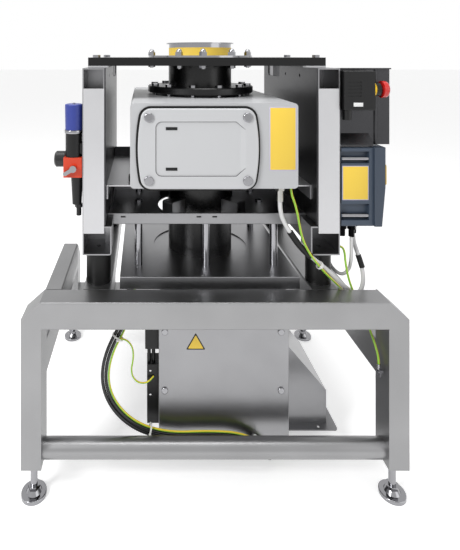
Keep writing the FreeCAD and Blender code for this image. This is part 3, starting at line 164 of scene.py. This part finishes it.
# %% [markdown]
# The stand is bead-blasted and then brushed along its tubes, which gives a soft, slightly
# cloudy grey. The sheets are ground: a fine straight grain that stretches reflections
# upright, and the column covers are ground finer, so they look paler. The side plates, the
# rear panel and the wall plate take the same stainless made darker and a little uneven: the
# dark is painted reflection. Turned pieces and the inlet are polished, so they mirror the
# studio sharply. One noise with other numbers gives all of these, which is why a single
# helper makes them.

# %% Metals
stand_steel = finish("bead-blasted stainless tube", "#989899", 1.0, 0.36, 0.06, 1.6,
                     bump=0.04, shade=0.06)
sheet_steel = finish("ground stainless sheet", "#98989A", 1.0, 0.32, 0.04, 1.4,
                     stretch=(1, 1, 0.15), bump=0.012, shade=0.07)
cover_sheet = finish("fine-ground stainless cover", "#C4C4C6", 1.0, 0.42, 0.04, 1.2,
                     stretch=(1, 1, 0.15), bump=0.012, shade=0.03)
# painted reflection: a darker copy of the stainless, standing for the dark reflections of these
# plates
dark_reflection_sheet = finish("stainless plate, painted dark reflection", "#48484A", 1.0, 0.34, 0.08, 2.0,
                    bump=0.04, shade=0.08)
polished = finish("polished stainless", "#97979A", 1.0, 0.13, 0.04, 1.0, bump=0.01, shade=0.02)
nickel = finish("nickel-plated brass", "#A9A8A4", 1.0, 0.2, 0.05, 1.0, bump=0.01, shade=0.04)

metals = (stand_steel, sheet_steel, cover_sheet, dark_reflection_sheet, polished, nickel)
print("metals:", ", ".join(material.name for material in metals))

# %% [markdown]
# The detector head is powder coated: a pale grey with the faint orange peel that the baked
# powder leaves. The plate and the pipe are black polymer, machined or extruded, and the
# control box is moulded polyester with a fine matt texture. Films are thin satin vinyl.

# %% Paint and plastics
head_grey = finish("satin powder coat, light grey", "#BDBEC0", 0.0, 0.36, 0.05, 1.6,
                   bump=0.05, shade=0.01)
cover_grey = finish("satin cast cover, light grey", "#C6C7C9", 0.0, 0.33, 0.05, 1.2,
                    bump=0.04, shade=0.01)
black_polymer = finish("machined acetal plate, black", "#0B0B0C", 0.0, 0.16, 0.05, 1.2,
                       bump=0.02, shade=0.1, specular=0.35)
black_pipe = finish("extruded polyethylene pipe, black", "#0B0B0C", 0.0, 0.3, 0.05, 2.0,
                    bump=0.012, shade=0.1, specular=0.4)
rubber = finish("moulded rubber, black", "#0C0C0C", 0.0, 0.42, 0.06, 1.0, bump=0.05, shade=0.1,
                specular=0.3)
black_plastic = finish("moulded polyamide, black", "#0B0B0C", 0.0, 0.34, 0.06, 0.8,
                       bump=0.05, shade=0.1, specular=0.35)
slate = finish("moulded polyester box, slate blue", "#3B4757", 0.0, 0.4, 0.06, 0.9,
               bump=0.08, shade=0.05)
slate_dark = finish("moulded polyester cover, slate blue", "#364150", 0.0, 0.42, 0.06, 0.9,
                    bump=0.08, shade=0.05)
blue = finish("moulded polyamide, blue", "#2E3E93", 0.0, 0.36, 0.05, 0.8, bump=0.05, shade=0.04)
red = finish("glossy moulded plastic, red", "#D02420", 0.0, 0.22, 0.04, 1.0, bump=0.02, coat=0.3)
yellow = finish("moulded plastic, yellow", "#F3C40A", 0.0, 0.32, 0.04, 1.0, bump=0.02)
label_yellow = finish("printed vinyl film, yellow", "#F0CC4C", 0.0, 0.5, 0.03, 1.2, bump=0.01,
                      shade=0.01)
label_edge = finish("vinyl film, pale lavender", "#C6C2DC", 0.0, 0.45, 0.03, 1.2, bump=0.01)
white_film = finish("vinyl film, white", "#F4F4F4", 0.0, 0.45, 0.03, 1.2, bump=0.01)
nylon = finish("moulded nylon tie, natural white", "#EDEDEA", 0.0, 0.35, 0.04, 0.8, bump=0.02)
grey_cable = finish("PVC cable jacket, light grey", "#DADADA", 0.0, 0.36, 0.05, 0.7, bump=0.03,
                    shade=0.02)
black_hose = finish("polyurethane hose, black", "#0E0E0F", 0.0, 0.22, 0.05, 0.8, bump=0.02)

# %% [markdown]
# Three finishes change over one piece. The earth wire has a green jacket with two yellow
# stripes that run along it, so its colour follows the tube's own UV map. The shut-off block
# is red and the round gauge on its left end is black, split where the two parts meet. The
# gland of the head is bright nickel, and the glands of the control box, lower down, are
# black, so that finish is split by height.

# %% Two-colour finishes
STRIPES = 2                  # yellow stripes round the wire
STRIPE_EDGE = 0.13           # green up to here, yellow from here to the half period
GAUGE_LENGTH = 24.8          # black part of the shut-off valve, mm
BLACK_GLANDS_BELOW = 640.0   # mm


def split_colour(material, other, amount):
    """Mixes a second colour into a finish where 'amount' is 1."""
    tree = material.node_tree
    shader = tree.nodes["Principled BSDF"]
    first = shader.inputs["Base Color"].links[0].from_socket
    mix = node(tree, "ShaderNodeMix", {"data_type": "RGBA", MIX_SECOND: linear(other)},
               {MIX_FIRST: first, MIX_FACTOR: amount(tree)})
    tree.links.new(mix.outputs[MIX_RESULT], shader.inputs["Base Color"])


def stripe(tree):
    """1 on the yellow stripes, which take just under half of the way round."""
    uv = node(tree, "ShaderNodeTexCoord")
    parts = node(tree, "ShaderNodeSeparateXYZ", (), {"Vector": uv.outputs["UV"]})
    wave = node(tree, "ShaderNodeMath", {"operation": "PINGPONG", 1: 0.5 / STRIPES},
                {0: parts.outputs["Y"]})
    step = node(tree, "ShaderNodeMath", {"operation": "GREATER_THAN", 1: STRIPE_EDGE},
                {0: wave.outputs[0]})
    return step.outputs[0]


def below(axis, edge):
    """1 where the surface lies below that coordinate, in mm."""
    def amount(tree):
        place = node(tree, "ShaderNodeTexCoord")
        parts = node(tree, "ShaderNodeSeparateXYZ", (), {"Vector": place.outputs["Object"]})
        step = node(tree, "ShaderNodeMath", {"operation": "LESS_THAN", 1: edge * MM},
                    {0: parts.outputs[axis]})
        return step.outputs[0]
    return amount


earth = finish("PVC wire jacket, green and yellow", "#86C63C", 0.0, 0.34, 0.04, 0.7, bump=0.02,
               shade=0.0)
split_colour(earth, "#F2D63A", stripe)
valve_red = finish("lacquered valve block, orange red", "#D8401E", 0.0, 0.32, 0.05, 1.0,
                   bump=0.03)
split_colour(valve_red, "#0B0B0C", below("X", low("shutoff_valve").x / MM + GAUGE_LENGTH))
split_colour(nickel, "#0C0C0D", below("Z", BLACK_GLANDS_BELOW))
print("two-colour finishes:", earth.name, "/", valve_red.name, "/", nickel.name)

# %% [markdown]
# Each CAD node gets its finish by name. The CAD mesh is kept as it is, with its own sharp
# and smooth edges, and only its material slots change.

# %% Dress the CAD nodes
finishes = {
    stand_steel: ["front_leg_right", "front_leg_left", "rear_legs", "front_beam", "rear_beam",
                  "side_rails", "front_cross_tube", "beam_arm", "damper_rails"],
    polished: ["foot_front_left", "foot_front_right", "foot_rear_left", "foot_rear_right",
               "inlet_pipe", "line_bolts", "cover_screws", "spacers", "shutoff_handle"],
    sheet_steel: ["front_columns", "rear_columns", "tray", "lower_plate", "valve_body",
                  "valve_cover", "reject_chute", "reject_flap", "pipe_clamps"],
    cover_sheet: ["column_covers", "head_brackets"],
    # painted reflection: these plates take the darkened copy of the stainless
    dark_reflection_sheet: ["side_plates", "rear_panel", "wall_plate"],
    head_grey: ["detector_head", "rotary_actuator"],
    cover_grey: ["detector_cover"],
    black_polymer: ["top_plate"],
    black_pipe: ["product_pipe"],
    rubber: ["vibration_dampers", "cover_gasket"],
    black_plastic: ["solenoid_valve", "estop_box", "estop_stem", "regulator", "filter_bowl"],
    slate: ["control_box"],
    slate_dark: ["control_box_cover"],
    yellow: ["switch_plate"],
    red: ["switch_knob", "estop_button"],
    blue: ["regulator_knob"],
    valve_red: ["shutoff_valve"],
    nickel: ["cable_glands"],
    grey_cable: ["detector_cable", "loop_cable"],
    black_hose: ["valve_hose", "valve_cable"],
    earth: ["earth_wire_head", "earth_wire_leg", "valve_earth_wire", "bracket_earth_wire"],
}
dressed = 0
for material, names in finishes.items():
    for name in names:
        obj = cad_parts[name]
        for slot in obj.material_slots:
            slot.material = material
        dressed += 1
print("dressed", dressed, "of", len(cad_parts))

# %% [markdown]
# The cables, hoses and wires are tubes of a fixed length. They could be swept along a path
# or simulated; a spline with a round bevel follows the route of the CAD tube smoothly and
# keeps the cord's own diameter, and it stands in for that tube. The black boots on the
# detector cable are short wider tubes on the same route.

# %% Cords
def spline(name, points, dia, material):
    curve = bpy.data.curves.new(name, "CURVE")
    curve.dimensions = "3D"
    line = curve.splines.new("NURBS")
    line.points.add(len(points) - 1)
    for point, place in zip(line.points, points):
        point.co = (*place, 1.0)
    line.order_u = 3
    line.use_endpoint_u = True
    curve.resolution_u = 10
    curve.bevel_depth = dia / 2 * MM
    curve.bevel_resolution = 5
    curve.use_fill_caps = True
    curve.materials.append(material)
    return link(bpy.data.objects.new(name, curve))


def cord(name, points, dia, material):
    """A cord that leaves the machine at its first point and goes back in at its last."""
    obj = spline(name + "_cord", points, dia, material)
    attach(obj, "stand")
    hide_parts(name)
    return obj


def sleeve(name, points, dia, material):
    """A short tube pushed over a cord."""
    obj = spline(name, points, dia, material)
    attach(obj, "stand")
    return obj


boots = [sleeve("cable_boot_head", [at(180, 40, 598.5), at(190, 40, 583), at(211, 41, 556),
                                    at(229, 42.4, 540.5)], 15.0, rubber),
         sleeve("cable_boot_box", [at(364, 94.4, 522), at(371, 88, 494)], 13.0, rubber)]
cord("detector_cable", [
    at(157, 40, 670.5), at(157, 40, 642), at(171, 40, 612), at(190, 40, 583),
    at(211, 41, 556), at(238, 43, 533), at(265, 47, 511), at(293, 55, 485),
    at(320, 70, 457), at(350, 92, 432), at(373, 124, 412), at(369, 163, 401),
    at(338, 184, 394), at(308, 163, 389), at(306, 126, 388), at(332, 100, 397),
    at(360, 88, 423), at(373, 84, 457), at(371, 88, 494), at(362, 96, 530),
    at(356, 104, 554), at(356, 104, 573)], 10.0, grey_cable)
cord("loop_cable", [
    at(341, 80, 573), at(341, 80, 546), at(342, 82, 516), at(339, 88, 488),
    at(326, 98, 470), at(312, 116, 476), at(306, 138, 494), at(301, 160, 516),
    at(286, 178, 540), at(269, 184, 552), at(252.5, 184, 552)], 8.0, grey_cable)
cord("earth_wire_head", [
    at(179, 30, 706.5), at(180, 30, 690), at(187, 30, 672), at(194, 30, 646),
    at(199, 30, 616), at(206, 31, 586), at(220, 33, 556), at(241, 36, 527),
    at(264, 42, 501), at(289, 53, 476), at(311, 69, 453), at(326, 90, 436),
    at(329, 112, 427), at(318, 125, 425), at(303, 125, 425)], 5.0, earth)
cord("earth_wire_leg", [
    at(304.3, 72, 552), at(313, 72, 552), at(321, 72, 542), at(323, 71, 510),
    at(330, 70, 474), at(341, 71, 444), at(356, 74, 410), at(372, 74, 378),
    at(380, 66, 352), at(382, 48, 332), at(381, 30, 314), at(381, 30, 299)], 5.0, earth)


def beside(points, shift):
    """The same route moved sideways in the XZ plane, to lie beside the first."""
    moved = []
    side = Vector((1, 0, 0))
    for k, point in enumerate(points):
        before = points[max(k - 1, 0)]
        after = points[min(k + 1, len(points) - 1)]
        along = Vector((after.x - before.x, 0, after.z - before.z)).normalized()
        normal = Vector((-along.z, 0, along.x))
        side = normal if normal.dot(side) >= 0 else -normal
        moved.append(point + side * shift * MM)
    return moved


bundle = [
    at(-188, 132, 457), at(-188, 132, 432), at(-190, 124, 402), at(-198, 108, 368),
    at(-216, 92, 336), at(-236, 82, 304), at(-249, 77, 266), at(-251, 73, 226),
    at(-238, 70, 186), at(-208, 68, 149), at(-168, 67, 123), at(-122, 66, 110),
    at(-76, 66, 105), at(-30, 66, 107), at(16, 66, 107), at(60, 66, 104), at(98, 67, 91),
    at(128, 70, 67), at(150, 82, 40), at(160, 104, 22), at(160, 128, 28), at(160, 128, 50)]
cord("valve_hose", beside(bundle, -8.6), 8.0, black_hose)
cord("valve_cable", bundle, 8.0, black_hose)
cord("valve_earth_wire", beside(bundle, 7.1), 5.0, earth)
cord("bracket_earth_wire", [
    at(-222, 78, 324), at(-212, 78, 327), at(-199, 79, 322), at(-188, 81, 308),
    at(-184, 83, 288), at(-186, 85, 266), at(-190, 87, 246), at(-186, 89, 226),
    at(-173, 91, 212), at(-156, 93, 209), at(-143, 96, 214), at(-135, 102, 220)],
    4.0, earth)

# %% [markdown]
# Small trim is modelled with two helpers. A turned piece is a profile spun about its axis,
# as on a lathe, and a plate is a cube cut to size with its edges bevelled. Both end with
# their place in the mesh, so the patterns on them stay put.

# %% Helpers for trim
DOUBLES = 1e-6               # vertices this close are one, m
SHARP_EDGE = math.radians(35)


def keep(name, bm, material, body="stand"):
    """Writes a bmesh to a piece with outward faces, smooth where it curves."""
    bmesh.ops.remove_doubles(bm, verts=bm.verts, dist=DOUBLES)
    bmesh.ops.recalc_face_normals(bm, faces=bm.faces)
    mesh = bpy.data.meshes.new(name)
    bm.to_mesh(mesh)
    bm.free()
    mesh.materials.append(material)
    mesh.shade_smooth()
    mesh.set_sharp_from_angle(angle=SHARP_EDGE)
    obj = link(bpy.data.objects.new(name, mesh))
    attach(obj, body)
    return obj


def plate(bm, lowest, highest, edge=0.4):
    """Adds a block between two corners, its edges rounded."""
    size = highest - lowest
    made = bmesh.ops.create_cube(bm, size=1.0)["verts"]
    bmesh.ops.scale(bm, vec=size, verts=made)
    bmesh.ops.translate(bm, vec=(lowest + highest) / 2, verts=made)
    edges = list({e for v in made for e in v.link_edges})
    bmesh.ops.bevel(bm, geom=edges, offset=edge * MM, offset_type="OFFSET", affect="EDGES",
                    segments=2, profile=0.5, material=-1)


def turned(bm, profile, base, axis=(0, 0, 1), steps=48):
    """Spins (radius, height) points, in mm, about an axis through base."""
    made = [bm.verts.new((r * MM, 0, h * MM)) for r, h in profile]
    edges = [bm.edges.new(pair) for pair in zip(made, made[1:])]
    bmesh.ops.spin(bm, geom=made + edges, cent=(0, 0, 0), axis=(0, 0, 1),
                   angle=2 * math.pi, steps=steps, use_merge=True)
    found = {v for v in made if v.is_valid}
    grown = set(found)
    while found:
        found = {e.other_vert(v) for v in found for e in v.link_edges} - grown
        grown |= found
    turn = Vector((0, 0, 1)).rotation_difference(Vector(axis)).to_matrix().to_4x4()
    bmesh.ops.transform(bm, matrix=Matrix.Translation(base) @ turn, verts=list(grown))


# %% [markdown]
# The head and the control box each carry a yellow vinyl label with a pale border, a yellow
# band goes round the inlet, and a small white film sits on the emergency-stop box. They
# could be drawn in the material, but a thin sheet has a real edge that catches the light.
# All of them are bare: no words are put on them.

# %% Labels
FILM = 0.0003                # thickness of a film, m
BORDER_SHOWS = 0.15          # the coloured field stands this far proud, mm
FILM_EDGE = 0.1              # rounding of a film's edge, mm


def label(name, face, x_span, z_span, border):
    """A film on a front face: the border, and the coloured field just in front of it."""
    lowest = Vector((x_span[0], face - FILM, z_span[0]))
    highest = Vector((x_span[1], face, z_span[1]))
    bm = bmesh.new()
    plate(bm, lowest, highest, FILM_EDGE)
    keep(name + "_edge", bm, label_edge)
    inset = Vector((border, 0, border)) * MM
    lift = Vector((0, -BORDER_SHOWS * MM, 0))
    bm = bmesh.new()
    plate(bm, lowest + inset + lift, highest - inset + lift, FILM_EDGE)
    keep(name, bm, label_yellow)


head_front = low("detector_head").y
label("head_label", head_front, (0.125, 0.1865), (0.747, 0.892), 2.2)
box_front = low("control_box").y
label("box_label", box_front, (0.3105, 0.3725), (0.666, 0.747), 1.5)

band_low, band_high = 5.2, 26.5          # heights above the top plate, mm
band_in, band_out = 87.0, 87.4           # radii, mm
pipe_y = (low("inlet_pipe").y + high("inlet_pipe").y) / 2
bm = bmesh.new()
turned(bm, [(band_in, band_low), (band_out, band_low), (band_out, band_high),
            (band_in, band_high), (band_in, band_low)],
       Vector((0, pipe_y, high("top_plate").z)), steps=96)
keep("inlet_film", bm, label_yellow)

stop_front = low("estop_box").y
bm = bmesh.new()
plate(bm, Vector((0.330, stop_front - FILM, 0.889)),
      Vector((0.352, stop_front + 0.0002, 0.898)), FILM_EDGE)
keep("estop_film", bm, white_film)
print("labels: head, control box, inlet band, emergency stop")

# %% [markdown]
# The sunk panel of the head cover gets a narrow dark line all round it, with round corners
# on the left and cut corners on the right: painted shadow along the edge of the recess. The
# dark inside of its two slots is painted shade too, black blocks set in them. The line could
# be cut into the cover, but the cover stays as the CAD made it, so the painted shadow line is
# a thin round bead: a closed line with a bevel, its round corners made from arcs.

# %% Painted shadow line round the cover panel
CORNER_STEPS = 8
PANEL_X, PANEL_Z = (-133.2, 70.2), (736.8, 859.7)        # mm
ROUND_CORNER = 14.0
CUT_X, CUT_Z = 22.0, 19.0
SHADOW_LINE_DEPTH, SHADOW_LINE_WIDTH = 0.9, 1.6      # mm behind the face, mm across
SLOT_X, SLOT_Z = (-110.0, -84.0), (752.75, 843.75)
SLOT_HALF = 3.4                          # half the height of a slot, mm
SLOT_FRONT, SLOT_BACK = 1.2, 3.8         # mm behind the cover's face


def shadow_bead(name, points, width, material):
    """A bead along a closed line of points."""
    curve = bpy.data.curves.new(name, "CURVE")
    curve.dimensions = "3D"
    line = curve.splines.new("POLY")
    line.points.add(len(points) - 1)
    for point, place in zip(line.points, points):
        point.co = (*place, 1.0)
    line.use_cyclic_u = True
    curve.bevel_depth = width / 2 * MM
    curve.bevel_resolution = 2
    curve.materials.append(material)
    obj = link(bpy.data.objects.new(name, curve))
    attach(obj, "stand")


cover_face = low("detector_cover").y


def on_cover(x, behind, z):
    """A point in mm, at its distance behind the cover's face."""
    return Vector((x * MM, cover_face + behind * MM, z * MM))


outline = []
centre_x = PANEL_X[0] + ROUND_CORNER
for centre_z, start in ((PANEL_Z[1] - ROUND_CORNER, 90), (PANEL_Z[0] + ROUND_CORNER, 180)):
    for k in range(CORNER_STEPS + 1):
        turn = math.radians(start + 90 * k / CORNER_STEPS)
        outline.append((centre_x + ROUND_CORNER * math.cos(turn),
                        centre_z + ROUND_CORNER * math.sin(turn)))
outline += [(PANEL_X[1] - CUT_X, PANEL_Z[0]), (PANEL_X[1], PANEL_Z[0] + CUT_Z),
            (PANEL_X[1], PANEL_Z[1] - CUT_Z), (PANEL_X[1] - CUT_X, PANEL_Z[1])]
# painted shadow: a dark bead along the edge of the panel's recess
shadow_bead("panel_shadow_line", [on_cover(x, SHADOW_LINE_DEPTH, z) for x, z in outline], SHADOW_LINE_WIDTH, rubber)
# painted shade: black blocks that stand for the dark inside of the cover's two slots
bm = bmesh.new()
for z in SLOT_Z:
    plate(bm, on_cover(SLOT_X[0], SLOT_FRONT, z - SLOT_HALF),
          on_cover(SLOT_X[1], SLOT_BACK, z + SLOT_HALF), 0.2)
keep("cover_slot_shade", bm, black_plastic)
print("panel shadow line:", len(outline), "points; slots:", len(SLOT_Z))

# %% [markdown]
# The bare triangle on the valve cover is a small plate of three sides with round corners:
# a black one, and a yellow one on it that is smaller. A circle of three points makes the
# outline, a vertex bevel rounds it, and an extrusion gives it its thickness.

# %% Triangle plate
def triangle(name, centre, radius, thick, corner, material):
    bm = bmesh.new()
    bmesh.ops.create_circle(bm, cap_ends=True, radius=radius * MM, segments=3)
    turn = Matrix.Rotation(math.radians(90), 4, "X")
    bmesh.ops.transform(bm, matrix=turn, verts=bm.verts)
    bmesh.ops.bevel(bm, geom=list(bm.verts), offset=corner * MM, affect="VERTICES",
                    segments=4, profile=0.5, material=-1)
    grown = bmesh.ops.extrude_face_region(bm, geom=bm.faces[:])
    made = [v for v in grown["geom"] if isinstance(v, bmesh.types.BMVert)]
    bmesh.ops.translate(bm, vec=(0, -thick * MM, 0), verts=made)
    bmesh.ops.translate(bm, vec=centre, verts=bm.verts)
    return keep(name, bm, material)


triangle_at = Vector((-0.0337, low("valve_cover").y, 0.3102))
triangle("triangle_edge", triangle_at, 27, 0.3, 3.0, black_plastic)
triangle("triangle_field", triangle_at, 21.5, 0.5, 2.0, label_yellow)
print("triangle on the valve cover: black edge, yellow field")

# %% [markdown]
# The last turned pieces: a steel bar in each pocket of the control box, the steel ring
# under the blue knob, the nipple on top of it, which turns with the knob, and the yellow
# ring of the emergency stop. Each is a short profile spun about its own axis.

# %% Rings and bars
bar_start, bar_radius = 0.308, 4.7       # m, mm
bar_length = (high("control_box").x - 0.010 - bar_start) / MM - 1
bm = bmesh.new()
for z in (628.0, 763.0):
    turned(bm, [(0, 2), (3.5, 2), (bar_radius, 3.5), (bar_radius, bar_length), (0, bar_length)],
           Vector((bar_start, box_front + 0.006, z * MM)), (1, 0, 0), 24)
keep("pocket_bars", bm, polished)
knob_low, knob_high = low("regulator_knob"), high("regulator_knob")
knob_mid = (knob_low + knob_high) / 2
bm = bmesh.new()
turned(bm, [(21.9, -7.8), (22.3, -7.2), (22.3, -0.9), (21.9, -0.3), (21.9, -7.8)],
       Vector((knob_mid.x, knob_mid.y, knob_low.z)))
keep("knob_ring", bm, polished)
bm = bmesh.new()
turned(bm, [(0, 0), (3.2, 0), (3.2, 2.6), (2.2, 3.4), (0, 3.4)],
       Vector((knob_mid.x, knob_mid.y, knob_high.z)), steps=24)
keep("knob_nipple", bm, polished, "regulator_knob")
stop_mid = (low("estop_button") + high("estop_button")) / 2
estop_width = 0.072
face_x = low("estop_box").x + estop_width
bm = bmesh.new()
turned(bm, [(15.05, 0.4), (17.5, 0.4), (17.5, 4.6), (16.6, 5.6), (15.05, 5.6), (15.05, 0.4)],
       Vector((face_x, stop_mid.y, stop_mid.z)), (1, 0, 0))
keep("estop_ring", bm, yellow)
print("pocket bars %.0f mm long" % (bar_length - 2))

# %% [markdown]
# White nylon ties hold the hoses together. A tie is a flat band round the bundle with a
# small square head. A strap could be bent along a curve, but at this size a short turned
# band with a block on it reads the same.

# %% Cable ties
def tie(name, centre, along, radius, width=4.0, thick=1.3):
    """A band square to the cords' direction, with its head towards the front."""
    bm = bmesh.new()
    outer = radius + thick
    turned(bm, [(radius, -width / 2), (outer, -width / 2), (outer, width / 2),
                (radius, width / 2), (radius, -width / 2)], centre, along, 24)
    head = centre + Vector((0, -(radius + 2) * MM, 0))
    plate(bm, head - mm(3, 2, 2.5), head + mm(3, 2, 2.5), 0.5)
    keep(name, bm, nylon)


tie("tie_upper", at(-222, 89, 325), (0.5, 0.2, 0.9), 13.5)
tie("tie_lower", at(-145, 66.5, 117), (0.97, 0, -0.28), 13.5)
tie("tie_end", at(104, 68, 87), (0.8, 0, -0.6), 13.5)
tie("tie_head", at(250, 42, 520), (0.75, 0.1, -0.6), 8.0)
print("ties: 4")

# %% [markdown]
# The studio is a pale floor and a white surround. The world is white where the camera, a
# mirror or glass sees it, and a plain medium level where it only lights, so the metal
# mirrors a white room without being over-lit. The floor glows a little in the same way,
# which keeps it pale and leaves the shadow on it. Three soft lamps shape the forms: a key
# from the left, a weak fill from the right and one overhead for the upward faces.

# %% Floor and light
FLOOR_GLOW = 0.5
FLOOR_REACH, FLOOR_DROP = 30, 0.0005     # m
WORLD_LIGHTS, WORLD_SEEN = 0.42, 1.0     # strength where it lights, and where it shows


def in_view(tree):
    """1 on rays from the camera, a mirror or glass, and 0 on rays that only light."""
    rays = node(tree, "ShaderNodeLightPath")
    mirrored = node(tree, "ShaderNodeMath", {"operation": "ADD"},
                    {0: rays.outputs["Is Camera Ray"], 1: rays.outputs["Is Glossy Ray"]})
    seen = node(tree, "ShaderNodeMath", {"operation": "ADD", "use_clamp": True},
                {0: mirrored.outputs[0], 1: rays.outputs["Is Transmission Ray"]})
    return seen.outputs[0]


def pale(name):
    material = bpy.data.materials.new(name)
    material.use_nodes = True
    tree = material.node_tree
    shader = tree.nodes["Principled BSDF"]
    shader.inputs["Base Color"].default_value = linear("#F4F4F4")
    shader.inputs["Roughness"].default_value = 0.9
    glow = node(tree, "ShaderNodeMath", {"operation": "MULTIPLY", 1: FLOOR_GLOW},
                {0: in_view(tree)})
    shader.inputs["Emission Color"].default_value = (1, 1, 1, 1)
    tree.links.new(glow.outputs[0], shader.inputs["Emission Strength"])
    return material


bm = bmesh.new()
bmesh.ops.create_grid(bm, x_segments=1, y_segments=1, size=FLOOR_REACH)
bmesh.ops.translate(bm, vec=(0, 0, -FLOOR_DROP), verts=bm.verts)
floor_mesh = bpy.data.meshes.new("floor")
bm.to_mesh(floor_mesh)
bm.free()
floor_mesh.materials.append(pale("matt studio floor, white"))
floor = link(bpy.data.objects.new("floor", floor_mesh))


def lamp(name, place, energy, size, target=(0, 0, 0.55)):
    """A square soft lamp that points at the middle of the machine; watts and metres."""
    data = bpy.data.lights.new(name, "AREA")
    data.energy, data.size = energy, size
    obj = link(bpy.data.objects.new(name, data))
    obj.location = place
    obj.rotation_euler = (Vector(target) - obj.location).to_track_quat("-Z", "Y").to_euler()


lamp("key", (-2.4, -2.2, 2.4), 70, 0.9)
lamp("fill", (2.6, -2.2, 1.4), 14, 2.0)
lamp("top", (0, -0.3, 3.0), 40, 1.6)
world = bpy.data.worlds.new("studio")
bpy.context.scene.world = world
world.use_nodes = True
tree = world.node_tree
level = node(tree, "ShaderNodeMapRange", {"To Min": WORLD_LIGHTS, "To Max": WORLD_SEEN},
             {"Value": in_view(tree)})
sky = tree.nodes["Background"]
sky.inputs["Color"].default_value = (1, 1, 1, 1)
tree.links.new(level.outputs["Result"], sky.inputs["Strength"])
bpy.context.scene.view_settings.view_transform = "Standard"
print("lamps:", len(bpy.data.lights))
